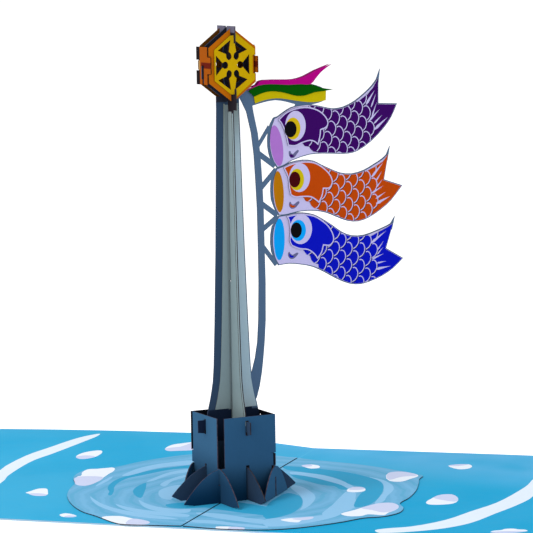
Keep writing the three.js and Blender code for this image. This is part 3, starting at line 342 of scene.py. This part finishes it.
def grow(pts, distance):
    """Moves an outline outward, or inward where distance is negative."""
    sign = 1 if area(pts) > 0 else -1
    out = []
    for i, p in enumerate(pts):
        here = Vector(p)
        d1 = (here - Vector(pts[i - 1])).normalized()
        d2 = (Vector(pts[(i + 1) % len(pts)]) - here).normalized()
        n1 = Vector((d1.y, -d1.x)) * sign
        n2 = Vector((d2.y, -d2.x)) * sign
        mitre = n1 + n2
        mitre = mitre.normalized() if mitre.length > 1e-6 else n1
        stretch = min(1 / max(mitre.dot(n1), 0.4), 1.8)
        out.append(tuple(here + mitre * (distance * stretch)))
    return out


def ellipse(cx, cy, rx, ry, tilt=0.0):
    segments = 40
    c, s = math.cos(tilt), math.sin(tilt)
    out = []
    for k in range(segments):
        t = 2 * math.pi * k / segments
        x, y = rx * math.cos(t), ry * math.sin(t)
        out.append((cx + x * c - y * s, cy + x * s + y * c))
    return out


def band(line, left, right):
    """A closed strip along an open line, `left` wide on its left side and `right` on its right."""
    pts = [Vector(p) for p in line]
    left_side, right_side = [], []
    for i, p in enumerate(pts):
        d = (pts[min(i + 1, len(pts) - 1)] - pts[max(i - 1, 0)]).normalized()
        normal = Vector((-d.y, d.x))
        left_side.append(tuple(p + normal * left))
        right_side.append(tuple(p - normal * right))
    return left_side + right_side[::-1]


def wedge(foot, tip, width):
    """A streak that starts narrow, is widest about a fifth of the way and ends in a point."""
    p, q = Vector(foot), Vector(tip)
    d = q - p
    m = Vector((-d.y, d.x)).normalized() * (width / 2)
    return [tuple(v) for v in (p + m * 0.35, p + d * 0.22 + m, p + d * 0.6 + m * 0.55, q,
                               p + d * 0.55 - m * 0.5, p + d * 0.2 - m, p - m * 0.35)]


def inside(pts, poly):
    """Which of the points are inside a closed outline."""
    x, y = pts[:, 0], pts[:, 1]
    hit = np.zeros(len(pts), bool)
    for (x0, y0), (x1, y1) in zip(poly, poly[1:] + poly[:1]):
        if y0 != y1:
            hit ^= ((y0 > y) != (y1 > y)) & (x < (x1 - x0) * (y - y0) / (y1 - y0) + x0)
    return hit


# ------------------------------------------------------------------ flat layered sheets
def mosaic(outlines, extra=()):
    """Cuts the plane along every outline: (points, triangles, triangle centres)."""
    pts, edges = [], []
    for line in outlines:
        base = len(pts)
        pts += [Vector(p) for p in line]
        edges += [(base + i, base + (i + 1) % len(line)) for i in range(len(line))]
    pts += [Vector(p) for p in extra]
    out = delaunay_2d_cdt(pts, edges, [], 0, 1e-5)
    co = np.array([tuple(v) for v in out[0]])
    tri = np.array([tuple(f) for f in out[2]], int)
    return co, tri, co[tri].mean(axis=1)


def stamp(kind, mid, lines, slot):
    """Prints outlines on the sheet: triangles inside them take the material slot."""
    for line in lines:
        kind[inside(mid, line) & (kind >= 0)] = slot


def printed_sheet(rim, prints, extra=()):
    """A sheet within rim: (points, triangles, slots). prints = [(outline, slot)], later on top."""
    co, tri, mid = mosaic([rim, *[line for line, _ in prints]], extra)
    kind = np.where(inside(mid, rim), 0, -1)
    for line, slot in prints:
        stamp(kind, mid, [line], slot)
    return co, tri, kind


def slab(name, sheet, place, layer, materials, wall, under=None):
    """A closed sheet from the triangles with a slot >= 0. place(x, y, n) gives the point in
    millimetres; layer = (n of the plain side, n of the printed side)."""
    co, tri, kind = sheet
    plain_n, printed_n = layer
    keep = kind >= 0
    used, inverse = np.unique(tri[keep], return_inverse=True)
    tri = inverse.reshape(-1, 3).tolist()
    m = len(used)
    verts = [tuple(v * MM for v in place(x, y, n)) for n in (printed_n, plain_n) for x, y in co[used]]
    faces = [tuple(t) for t in tri] + [(c + m, b + m, a + m) for a, b, c in tri]
    wall_slot = len(materials)
    slots = kind[keep].tolist() + [wall_slot + 1 if under else wall_slot] * len(tri)
    # Edges met in one direction only are the rim and get a wall; a dict keeps their order.
    seen = {e: None for a, b, c in tri for e in ((a, b), (b, c), (c, a))}
    for a, b in seen:
        if (b, a) not in seen:
            faces.append((b, a, a + m, b + m))
            slots.append(wall_slot)
    mesh = bpy.data.meshes.new(name)
    mesh.from_pydata(verts, [], faces)
    for mat in list(materials) + [wall] + ([under] if under else []):
        mesh.materials.append(mat)
    mesh.polygons.foreach_set("material_index", slots)
    mesh.validate()
    bm = bmesh.new()
    bm.from_mesh(mesh)
    bmesh.ops.remove_doubles(bm, verts=bm.verts, dist=1e-8)
    bmesh.ops.recalc_face_normals(bm, faces=bm.faces)
    bm.to_mesh(mesh)
    bm.free()
    mesh.update()
    obj = bpy.data.objects.new(name, mesh)
    scene.collection.objects.link(obj)
    return obj


def upright(s, z, n):
    """A point of an upright sheet, n millimetres towards ACROSS from the tower's axis."""
    return TOWER + ALONG * s + UP * z + ACROSS * n


# ------------------------------------------------------------------ materials
def linear(rgb):
    """Linear RGBA from 0-255 sRGB."""
    out = []
    for v in rgb:
        v = v / 255
        out.append(v / 12.92 if v <= 0.04045 else ((v + 0.055) / 1.055) ** 2.4)
    return (*out, 1.0)


class Tree:
    """Small helper around a paper material's nodes. Values may be sockets or constants."""

    def __init__(self, name):
        self.mat = bpy.data.materials.new(name)
        self.mat.use_nodes = True
        self.nt = self.mat.node_tree
        self.nt.nodes.clear()
        out = self.node("OutputMaterial")
        self.bsdf = self.node("BsdfPrincipled")
        self.feed(out.inputs[0], self.bsdf.outputs[0])
        coord = self.node("TexCoord")
        self.place = coord.outputs["Object"]
        self.normal = coord.outputs["Normal"]

    def node(self, kind):
        return self.nt.nodes.new("ShaderNode" + kind)

    def feed(self, socket, value):
        if isinstance(value, bpy.types.NodeSocket):
            self.nt.links.new(value, socket)
        else:
            socket.default_value = value

    def math(self, op, *values):
        n = self.node("Math")
        n.operation = op
        for socket, value in zip(n.inputs, values):
            self.feed(socket, value)
        return n.outputs[0]

    def measure(self, op, vector, other):
        n = self.node("VectorMath")
        n.operation = op
        self.feed(n.inputs[0], vector)
        self.feed(n.inputs[1], other)
        return n.outputs["Value"]

    def dot(self, vector, axis):
        return self.measure("DOT_PRODUCT", vector, axis)

    def mix(self, fac, a, b):
        n = self.node("Mix")
        n.data_type = "RGBA"
        for i, value in ((0, fac), (6, a), (7, b)):
            self.feed(n.inputs[i], value)
        return n.outputs[2]

    def ramp(self, value, lo, hi):
        """0 at lo to 1 at hi, eased; lo may be the larger."""
        n = self.node("MapRange")
        n.interpolation_type = "SMOOTHSTEP"
        n.clamp = True
        for i, v in enumerate((value, lo, hi)):
            self.feed(n.inputs[i], v)
        return n.outputs[0]

    def noise(self, scale, detail=3.0, rough=0.55, stretch=(1, 1, 1)):
        mapping = self.node("Mapping")
        self.feed(mapping.inputs[0], self.place)
        mapping.inputs["Scale"].default_value = stretch
        n = self.node("TexNoise")
        self.feed(n.inputs["Vector"], mapping.outputs[0])
        n.inputs["Scale"].default_value = scale
        n.inputs["Detail"].default_value = detail
        n.inputs["Roughness"].default_value = rough
        return n.outputs[0]

    def soot(self, scale, light, dark):
        """The uneven brown that a laser leaves on paper."""
        return self.mix(self.ramp(self.noise(scale), lo=0.35, hi=0.7), linear(light), linear(dark))

    def finish(self, colour, rough=0.82, bump=0.000012, fibre=0.10, mottle=0.08):
        """Paper: soft mottling, fibres in two directions, a fine bumped tooth."""
        cloud = self.noise(190.0, detail=4.0)
        long_a = self.noise(1500.0, detail=2.0, rough=0.6, stretch=(1.0, 0.18, 0.35))
        long_b = self.noise(1900.0, detail=2.0, rough=0.6, stretch=(0.2, 1.0, 0.3))
        fibres = self.math("ADD", self.math("MULTIPLY", long_a, 0.5), self.math("MULTIPLY", long_b, 0.5))
        uneven = self.math("ADD", self.math("MULTIPLY", cloud, mottle),
                           self.math("MULTIPLY", fibres, fibre))
        gain = self.math("ADD", 1.0 - (fibre + mottle) / 2, uneven)
        shade = self.node("VectorMath")
        shade.operation = "SCALE"
        self.feed(shade.inputs[0], colour[:3] if isinstance(colour, tuple) else colour)
        self.feed(shade.inputs["Scale"], gain)
        self.feed(self.bsdf.inputs["Base Color"], shade.outputs[0])
        self.feed(self.bsdf.inputs["Roughness"],
                  self.math("ADD", rough - 0.06, self.math("MULTIPLY", cloud, 0.12)))
        self.bsdf.inputs["Specular IOR Level"].default_value = 0.05
        tooth = self.noise(5200.0, detail=3.0, rough=0.7)
        b = self.node("Bump")
        b.inputs["Strength"].default_value = 0.5
        b.inputs["Distance"].default_value = bump
        self.feed(b.inputs["Height"], self.math("ADD", self.math("MULTIPLY", tooth, 0.6),
                                                self.math("MULTIPLY", fibres, 0.4)))
        self.feed(self.bsdf.inputs["Normal"], b.outputs[0])
        return self.mat

    def finish_cut(self, colour, facing, edge, edge_dark):
        """Finishes a CAD sheet: sooty where |facing| is low, on the cut edges."""
        cut = self.soot(700.0, edge, edge_dark)
        on_edge = self.ramp(facing, lo=0.75, hi=0.6)
        return self.finish(self.mix(on_edge, colour, cut), rough=0.84, fibre=0.12, mottle=0.10)


def paper(name, rgb, **kw):
    return Tree(name).finish(linear(rgb), **kw)


def burnt(name, light, dark):
    t = Tree(name)
    return t.finish(t.soot(900.0, light, dark), rough=0.9, fibre=0.2, mottle=0.2)


def sheet_material(name, axis, face, edge=(82, 72, 84), edge_dark=(48, 44, 56), other=None, rise=None):
    """For a CAD sheet whose flat faces look along `axis`. `face` is the colour of the side that
    axis points to, `other` of the opposite one. rise = (start z, end z, colour at the end)."""
    t = Tree(name)
    facing = t.dot(t.normal, axis)
    colour = linear(face)
    if rise:
        start, end, rgb = rise
        colour = t.mix(t.ramp(t.dot(t.place, UP), start * MM, end * MM), colour, linear(rgb))
    if other:
        colour = t.mix(t.ramp(facing, lo=0.05, hi=-0.05), colour, linear(other))
    return t.finish_cut(colour, t.math("ABSOLUTE", facing), edge, edge_dark)


def zoned(name, axis, base, zones, edge, edge_dark):
    """A sheet with differently printed zones: zones = [(tests, colour)], each test (direction,
    start, end) running from outside (start) to inside (end) the zone, in millimetres."""
    t = Tree(name)
    facing = t.math("ABSOLUTE", t.dot(t.normal, axis))
    colour = linear(base)
    for tests, rgb in zones:
        share = None
        for direction, start, end in tests:
            one = t.ramp(t.dot(t.place, direction), start * MM, end * MM)
            share = one if share is None else t.math("MULTIPLY", share, one)
        colour = t.mix(share, colour, linear(rgb))
    return t.finish_cut(colour, facing, edge, edge_dark)


M_LILAC = paper("lilac_print", (186, 179, 219))
M_EDGE = burnt("laser_edge", (96, 74, 74), (58, 44, 48))
# Darker edge walls for the raised fish sheets: partly the burn of the laser cut, partly painted shade for the
# shadow beside those sheets.
M_EDGE_AND_PAINTED_SHADE = burnt("laser_edge_and_painted_shade", (52, 44, 60), (28, 24, 36))
M_PUPIL = paper("pupil_black", (6, 5, 8), rough=0.7)
M_PUPIL_RED = paper("pupil_maroon", (62, 0, 4), rough=0.7)
M_TICK = paper("gill_grey", (98, 96, 134))

# ------------------------------------------------------------------ cover and ripple sheets
# How high the back of the open card bows off the table, by x.
LIFT_X = [-200, -150, -105, -75, -47, -30, -13, -3, 3, 20, 70, 120, 200]
LIFT_Z = [0, 2.2, 3.5, 4.1, 4.4, 3.1, 1.0, 0, 0, 0.3, 1.0, 1.2, 0]
LIFT_START, LIFT_RUN = 2, 68  # y where the bow begins, and the length it takes to grow


def bowed(x, y, n):
    """A point of the open card, n millimetres above its underside."""
    t = min(max((y - LIFT_START) / LIFT_RUN, 0), 1)
    return x, y, n + float(np.interp(x, LIFT_X, LIFT_Z)) * t * t * (3 - 2 * t)


def grid(x0, x1, y0, y1, step):
    nx, ny = int((x1 - x0) / step), int((y1 - y0) / step)
    return [(x0 + (x1 - x0) * (i + 0.5) / nx, y0 + (y1 - y0) * (j + 0.5) / ny)
            for i in range(nx) for j in range(ny)]


def foam(x, y, w, h, turn):
    """A small cloud of foam: its lobed outline and its shaded lower half."""
    c, s = math.cos(turn), math.sin(turn)
    return [[(x + (u * w * c - v * h * s), y + (u * w * s + v * h * c)) for u, v in pts]
            for pts in FOAM_SHAPE]


def foam_prints(clouds, slot):
    """Every cloud in the slot, and its shaded part in the next one."""
    return [(outline(pts, 3), slot + k) for cloud in clouds for k, pts in enumerate(cloud)]


def card_print():
    """Blue that deepens to the front right and pales to the back, under a soft wash."""
    t = Tree("card_print_blue")
    wash = t.noise(14.0)
    deep = t.ramp(t.dot(t.place, (1.0, -0.9, 0.0)), lo=0.0, hi=0.085)
    pale = t.ramp(t.dot(t.place, (0.42, 1.0, 0.0)), lo=0.04, hi=0.09)
    blue = t.mix(deep, linear((54, 174, 219)), linear((0, 162, 210)))
    blue = t.mix(pale, blue, linear((98, 184, 231)))
    blue = t.mix(t.ramp(wash, lo=0.4, hi=0.75), blue, linear((30, 166, 214)))
    return t.finish(blue, rough=0.6, fibre=0.05, mottle=0.05, bump=0.000006)


def ripple_print():
    """Wavering rings around a point near the tower's foot."""
    t = Tree("ripple_base")
    streak = t.noise(60.0, detail=4.0, rough=0.6)
    radius = t.measure("DISTANCE", t.place, (0.002, -0.022, 0.001))
    phase = t.math("ADD", t.math("MULTIPLY", radius, 900.0), t.math("MULTIPLY", streak, 7.0))
    rings = t.math("SINE", phase)
    blue = t.mix(t.ramp(rings, lo=0.35, hi=0.95), linear((108, 176, 215)), linear((117, 182, 221)))
    blue = t.mix(t.ramp(rings, lo=-0.55, hi=-1.0), blue, linear((96, 172, 210)))
    return t.finish(blue, rough=0.66, fibre=0.05, mottle=0.06, bump=0.000006)


M_CARD = card_print()
M_FOAM = paper("foam_white", (238, 244, 254), rough=0.62, fibre=0.04, mottle=0.04)
M_FOAM_LOW = paper("foam_lilac", (205, 213, 241), rough=0.62, fibre=0.04, mottle=0.04)
M_ARC = paper("ring_white", (228, 240, 251), rough=0.62, fibre=0.04, mottle=0.04)
M_CARD_BACK = paper("card_outside", (196, 224, 238), rough=0.66)
M_CREASE = paper("card_crease", (84, 182, 224), rough=0.7)
M_CARD_EDGE = paper("card_edge", (150, 176, 196), rough=0.9)

# Strips along the fold that put edges in the sheet there: (from x, to x, material slot).
FOLD_STRIPS = [(-0.9, -0.5, 0), (-0.3, 0.3, 4), (0, 0.15, 4), (0.5, 0.7, 0), (0.9, 1.2, 0)]


def make_cover():
    rim = [(-CARD_X, -CARD_Y), (CARD_X, -CARD_Y), (CARD_X, CARD_Y), (-CARD_X, CARD_Y)]
    prints = [([(x0, -CARD_Y), (x0, CARD_Y), (x1, CARD_Y), (x1, -CARD_Y)], slot)
              for x0, x1, slot in FOLD_STRIPS]
    prints += [(outline(arc, 3), 1) for arc in COVER_ARCS]
    prints += foam_prints(COVER_FOAM + [foam(*cloud) for cloud in OUTER_FOAM], 2)
    sheet = printed_sheet(rim, prints, grid(-CARD_X, CARD_X, -CARD_Y, CARD_Y, step=5))
    cover = slab("cover_sheet", sheet, bowed, CARD_LAYER,
                 [M_CARD, M_ARC, M_FOAM, M_FOAM_LOW, M_CREASE], M_CARD_EDGE, M_CARD_BACK)
    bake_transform(cover)
    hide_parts("left_cover", "right_cover")


make_cover()

M_RIPPLE = ripple_print()
M_LIGHT = paper("ripple_light", (142, 196, 233), rough=0.66, fibre=0.05, mottle=0.05)
M_DARK = paper("ripple_dark", (50, 160, 203), rough=0.66, fibre=0.05, mottle=0.08)
M_RIPPLE_EDGE = burnt("ripple_edge", (70, 66, 74), (40, 40, 50))


def make_ripple(side, rim):
    prints = [(outline(stroke, 3), 1) for stroke in LIGHT_STROKES]
    prints += [(outline(stroke, 3), 2) for stroke in DARK_STROKES]
    prints += foam_prints(RIPPLE_FOAM, 3)
    sheet = printed_sheet(outline(rim, 4), prints, grid(-72, 72, -76, 60, step=4))
    obj = slab(f"{side}_ripple_print", sheet, bowed, RIPPLE_LAYER,
               [M_RIPPLE, M_LIGHT, M_DARK, M_FOAM, M_FOAM_LOW], M_RIPPLE_EDGE)
    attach(obj, f"{side}_panel")
    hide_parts(f"{side}_ripple_sheet")


for side, rim in RIPPLE_OUTLINES.items():
    make_ripple(side, rim)

# ------------------------------------------------------------------ fish
# mouth_tilt is in radians. shade is the colour of the painted shadow beside the scale lines, a darker copy of the
# fish's colour.
FISH_LOOKS = {
    "upper": dict(slot="violet_print", mouth_tilt=0.14, colour=(52, 0, 88), shade=(22, 0, 44),
                  mouth=(163, 108, 190), iris=(196, 168, 12), pupil=M_PUPIL),
    "middle": dict(slot="orange_print", mouth_tilt=0.05, colour=(178, 64, 0), shade=(74, 24, 8),
                   mouth=(174, 108, 0), iris=(192, 172, 6), pupil=M_PUPIL_RED),
    "lower": dict(slot="blue_print", mouth_tilt=-0.02, colour=(2, 14, 176), shade=(2, 4, 66),
                  mouth=(2, 150, 228), iris=(6, 152, 232), pupil=M_PUPIL),
}
SKIN_INSET = -0.12     # coloured sheet inside the fish's rim
FIELD_INSET = -0.42    # coloured field inside the head plate
SCALE_MARGIN = 3.0     # scale lines centred farther outside the rim are left out
SCALE_HALF_LINE = 0.17
SCALE_PAINTED_SHADOW = 0.46     # width of the painted shadow beside the later part of a scale line, standing for the shade the raised coloured sheet casts there


def scale_lines(fish, rim):
    origin, along, down = (Vector(fish[k]) for k in ("scale_at", "scale_along", "scale_down"))
    gap = fish["scale_gap"]
    margin = grow(rim, SCALE_MARGIN)
    lines = []
    for i in range(-7, 6):
        for j in range(-5, 4):
            p = origin + along * i + down * j
            if not 22 < p.x < fish["scale_end"] or (gap and p.x > gap[0] and p.y > gap[1]):
                continue
            line = [tuple(p + Vector(q)) for q in fish["scale_arc"]]
            middle = np.mean(np.array(band(line, SCALE_HALF_LINE, SCALE_HALF_LINE)), axis=0)
            if inside(np.array([middle]), margin)[0]:
                lines.append(line)
    return lines


def scales_sheet(fish, rim):
    """Coloured sheet behind the head: 0 colour, 1 painted shadow beside the scale lines, 2 scale lines and tail
    streaks.
    """
    lines = scale_lines(fish, rim)
    light = [band(line, SCALE_HALF_LINE, SCALE_HALF_LINE) for line in lines]
    # dark: a painted shadow band beside the later part of each scale line, where the raised coloured sheet would
    # shade the lilac
    dark = [band(line[4:], SCALE_PAINTED_SHADOW, 0.0) for line in lines]
    streaks = [wedge(*streak) for streak in fish["streaks"]]
    skin = grow(rim, SKIN_INSET)
    tail = fish["tail_edge"]
    (s0, z0), (s1, z1) = tail[0], tail[-1]
    above_tail = [(s0 - 1.0, z0 + 0.6), *tail, (s1 + 0.2, z1 + 6), (s0 - 8, z0 + 6)]
    colour = fish["colour_from"]
    co, tri, mid = mosaic([skin, colour, above_tail, *light, *dark, *streaks])
    shown = inside(mid, skin) & inside(mid, colour) & ~inside(mid, above_tail)
    kind = np.where(shown, 0, -1)
    stamp(kind, mid, dark, 1)
    stamp(kind, mid, light + streaks, 2)
    return co, tri, kind


def make_fish(key, fish, look):
    m_colour = paper(f"{key}_ink", look["colour"], rough=0.7, fibre=0.12, mottle=0.14)
    m_painted_shadow = paper(f"{key}_scale_painted_shadow", look["shade"], rough=0.8)
    m_mouth = paper(f"{key}_mouth_ink", look["mouth"], rough=0.7)
    m_iris = paper(f"{key}_iris_ink", look["iris"], rough=0.7)
    rim = outline(fish["outline"], 5)
    head = outline(fish["head"], 6)
    # lilac sheet with the mouth and the little gill mark printed on it
    base = printed_sheet(rim, [
        (ellipse(*fish["mouth"], tilt=look["mouth_tilt"]), 1),
        (outline(fish["tick"], 3), 2), (outline(fish["tick_core"], 3), 3)])
    # raised head plate: lilac border, coloured field, eye
    face = printed_sheet(head, [
        (grow(head, FIELD_INSET), 1), (ellipse(*fish["eye"]), 0),
        (ellipse(*fish["iris"]), 2), (ellipse(*fish["pupil"]), 3)])
    # part, sheet, layer, materials, edge, CAD piece it stands for
    parts = [
        ("base", base, FISH_BASE, [M_LILAC, m_mouth, M_TICK, m_colour], M_EDGE, "fish"),
        ("scales", scales_sheet(fish, rim), FISH_SCALES, [m_colour, m_painted_shadow, M_LILAC],
         M_EDGE_AND_PAINTED_SHADE, None),
        ("face", face, FISH_FACE, [M_LILAC, m_colour, m_iris, look["pupil"]], M_EDGE_AND_PAINTED_SHADE,
         "fish_head"),
    ]
    for side, sign in (("front", 1), ("back", -1)):
        for part, sheet, (inner, outer), materials, edge, cad in parts:
            obj = slab(f"{key}_fish_{part}_{side}", sheet, upright, (sign * inner, sign * outer),
                       materials, edge)
            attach(obj, "pole_arm_body")
            if cad:
                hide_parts(f"{key}_{cad}_{side}")


for key, fish in FISH.items():
    make_fish(key, fish, FISH_LOOKS[key])


# ------------------------------------------------------------------ CAD sheets that are shown
def dress(name, material):
    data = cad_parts[name].data
    data.materials.clear()
    data.materials.append(material)


def strip(axis, centre, outer, inner):
    """Zone tests for a strip around centre, fading between half widths outer and inner."""
    return [(axis, centre - outer, centre - inner), (-axis, -centre - outer, -centre - inner)]


# Painted light and shade on the box slats: front and back darker than left and right as the light falls, the foot
# colour a painted shade darker towards the card, and other a near black painted shade on the inner faces inside the
# box.
# side, axis, colour at the foot, start and end z of the change, colour above
for side, axis, low, start, end, face in (
    ("front", ACROSS, (4, 46, 74), 1, 15, (44, 84, 117)),
    ("left", -ALONG, (30, 64, 92), 6, 20, (57, 97, 128)),
    ("right", ALONG, (30, 64, 92), 6, 20, (57, 97, 128)),
    ("back", -ACROSS, (4, 46, 74), 1, 15, (44, 84, 117)),
):
    dress(f"{side}_slat", sheet_material(f"slate_{side}", axis, low, other=(14, 20, 32),
                                         rise=(start, end, face)))
# Painted light: one slate paper, the left bracket a shaded copy and the right a lit copy as the light falls.
for side, rgb in (("left", (35, 78, 111)), ("right", (48, 92, 124))):
    dress(f"{side}_hinge_bracket", sheet_material(f"slate_bracket_{side}", RIGHT, rgb))

SLATE_LIGHT = (78, 101, 129)
LEAN = Vector((ALONG.x, ALONG.y, 0.0283))               # across the arm's leaning border
SLOPE = Vector((-0.77 * ALONG.x, -0.77 * ALONG.y, 1.0))  # across the sloping border at the top
dress("pole_slat_with_arm", zoned("slate_arm", ACROSS, (46, 66, 90), [
    ([(ALONG, POLE_ALONG + 8.4, POLE_ALONG + 8.9), (UP, 30, 31)], SLATE_LIGHT),
    # painted shade where the slat is inside the box
    ([(UP, 20, 20.4), (-UP, -31.3, -30.9)], (20, 32, 54)),
    ([(LEAN, -6.1, -5.9), (UP, 30, 31)], SLATE_LIGHT),
    ([*strip(ALONG, POLE_ALONG, 1.75, 1.65), (UP, 30.6, 31), (-UP, -135.2, -134.9)],
     (120, 134, 138)),
    # painted shade on the slat within the wheel
    ([(-ALONG, -POLE_ALONG - 9.6, -POLE_ALONG - 9.4), (UP, 135.8, 136.2), (SLOPE, 146.9, 147.3)],
     (34, 36, 48)),
], edge=(60, 74, 100), edge_dark=(48, 44, 56)))
dress("pole_cross_slat", zoned("slate_cross", ALONG, (48, 68, 92), [
    ([(UP, 26, 26.5), (-UP, -132.4, -132), *strip(ACROSS, POLE_ACROSS, 10.3, 10.1)],
     (134, 152, 156)),
    # painted shade on the slat under and inside the wheel
    ([(UP, 132.2, 132.6)], (34, 28, 34)),
    ([(UP, 159.3, 159.7)], (96, 93, 111)),
], edge=(62, 56, 60), edge_dark=(38, 32, 36)))

for end in ("front", "back"):
    # Painted shadow: the left overlays are a shaded copy of the pale paper, in the shadow of the cross slat; the
    # right ones are lit.
    for side, rgb in (("left", (122, 139, 143)), ("right", (160, 180, 190))):
        name = f"pole_overlay_{end}_{side}"
        dress(name, sheet_material(f"pale_{name}", ACROSS, rgb, edge=(88, 84, 84),
                                   edge_dark=(60, 60, 64), rise=(115, 140, (112, 124, 122))))
for end in ("near", "far"):
    for side in ("left", "right"):
        name = f"cross_overlay_{end}_{side}"
        dress(name, sheet_material(f"pale_{name}", ALONG, (126, 143, 146), edge=(96, 88, 82),
                                   edge_dark=(66, 60, 58), rise=(115, 140, (124, 136, 138))))
for key, rgb in (("yellow", (184, 166, 2)), ("green", (0, 76, 0)), ("magenta", (166, 0, 118))):
    for side in ("front", "back"):
        dress(f"{key}_ribbon_{side}", sheet_material(
            f"{key}_paper_{side}", ACROSS, rgb, edge=(70, 62, 50), edge_dark=(40, 36, 34)))

for side, axis in (("front", ACROSS), ("back", -ACROSS)):
    # other: painted shade, a dark copy of the orange on the plates' inner faces inside the wheel
    dress(f"wheel_{side}_plate", sheet_material(
        f"orange_plate_{side}", axis, (170, 92, 4), other=(96, 56, 8), edge=(96, 48, 10),
        edge_dark=(48, 26, 14)))
    dress(f"wheel_{side}_overlay", sheet_material(
        f"yellow_overlay_{side}", ACROSS, (182, 148, 0), edge=(104, 76, 8),
        edge_dark=(54, 38, 12)))
WHEEL_Z = 148.65
BACK_HALF = (-ACROSS, -POLE_ACROSS + 2.3, -POLE_ACROSS + 2.6)
for side in ("left", "right"):
    dress(f"wheel_{side}_strip", zoned(f"orange_strip_{side}", ALONG, (150, 73, 4), [
        ([*strip(UP, WHEEL_Z, 1.2, 0.8), (ACROSS, POLE_ACROSS - 1.6, POLE_ACROSS - 1.2)],
         (92, 20, 6)),
        ([BACK_HALF, (UP, WHEEL_Z - 9, WHEEL_Z - 8)], (24, 16, 18)),
        ([BACK_HALF, *strip(UP, WHEEL_Z, 1.7, 1.5)], (166, 132, 79)),
    ], edge=(90, 48, 14), edge_dark=(46, 26, 14)))


# ------------------------------------------------------------------ floor, light, camera (metres)
def make_floor(half=6.0, z=-0.0001):
    mesh = bpy.data.meshes.new("floor")
    corners = [(-half, -half, z), (half, -half, z), (half, half, z), (-half, half, z)]
    mesh.from_pydata(corners, [], [(0, 1, 2, 3)])
    obj = bpy.data.objects.new("floor", mesh)
    scene.collection.objects.link(obj)
    mat = bpy.data.materials.new("pale_floor")
    mat.use_nodes = True
    inputs = mat.node_tree.nodes["Principled BSDF"].inputs
    inputs["Base Color"].default_value = (0.93, 0.93, 0.93, 1)
    inputs["Roughness"].default_value = 0.9
    inputs["Emission Color"].default_value = (1, 1, 1, 1)
    inputs["Emission Strength"].default_value = 0.42
    mesh.materials.append(mat)


def make_world():
    """White to the camera, a dimmer cool white as light."""
    world = bpy.data.worlds.new("studio")
    scene.world = world
    world.use_nodes = True
    nt = world.node_tree
    nt.nodes.clear()
    out = nt.nodes.new("ShaderNodeOutputWorld")
    mix = nt.nodes.new("ShaderNodeMixShader")
    seen = nt.nodes.new("ShaderNodeBackground")
    light = nt.nodes.new("ShaderNodeBackground")
    path = nt.nodes.new("ShaderNodeLightPath")
    for node, colour, strength in ((seen, (1, 1, 1, 1), 1.0), (light, (0.97, 0.985, 1.0, 1), 0.72)):
        node.inputs[0].default_value = colour
        node.inputs[1].default_value = strength
    nt.links.new(path.outputs["Is Camera Ray"], mix.inputs[0])
    nt.links.new(light.outputs[0], mix.inputs[1])
    nt.links.new(seen.outputs[0], mix.inputs[2])
    nt.links.new(mix.outputs[0], out.inputs[0])


def lamp(name, where, size, power):
    """A round area light aimed low at the tower."""
    data = bpy.data.lights.new(name, "AREA")
    data.shape = "DISK"
    data.size = size
    data.energy = power
    obj = bpy.data.objects.new(name, data)
    obj.location = where
    obj.rotation_mode = "QUATERNION"
    obj.rotation_quaternion = (Vector((0, 0, 0.06)) - Vector(where)).to_track_quat("-Z", "Y")
    scene.collection.objects.link(obj)


def make_camera(azimuth, elevation, roll, target, distance, lens):
    """Looks at target (mm) from the front, turned to the right by azimuth; angles in degrees."""
    azimuth, elevation, roll = (math.radians(v) for v in (azimuth, elevation, roll))
    back = Vector((math.sin(azimuth) * math.cos(elevation),
                   -math.cos(azimuth) * math.cos(elevation), math.sin(elevation)))
    level = Vector((math.cos(azimuth), math.sin(azimuth), 0))
    upward = level.cross(-back)
    cam_right = level * math.cos(roll) + upward * math.sin(roll)
    cam_up = upward * math.cos(roll) - level * math.sin(roll)
    cam = bpy.data.cameras.new("camera")
    cam.sensor_width = 36.0
    cam.lens = lens
    cam.clip_start, cam.clip_end = 0.05, 30.0
    obj = bpy.data.objects.new("camera", cam)
    scene.collection.objects.link(obj)
    obj.rotation_mode = "QUATERNION"
    obj.location = Vector(target) * MM + back * distance
    obj.rotation_quaternion = Matrix((cam_right, cam_up, back)).transposed().to_quaternion()
    scene.camera = obj


make_floor()
make_world()
lamp("key", where=(-0.75, -0.95, 1.25), size=0.9, power=14.0)
lamp("fill", where=(1.1, -0.9, 0.7), size=1.0, power=3.0)
make_camera(azimuth=18.2, elevation=6.7, roll=-0.93, target=(6.4, 0, 77.7), distance=1.039,
            lens=202.626642)
scene.view_settings.view_transform = "Standard"
scene.view_settings.look = "None"

# ------------------------------------------------------------------ done
bpy.context.view_layer.update()
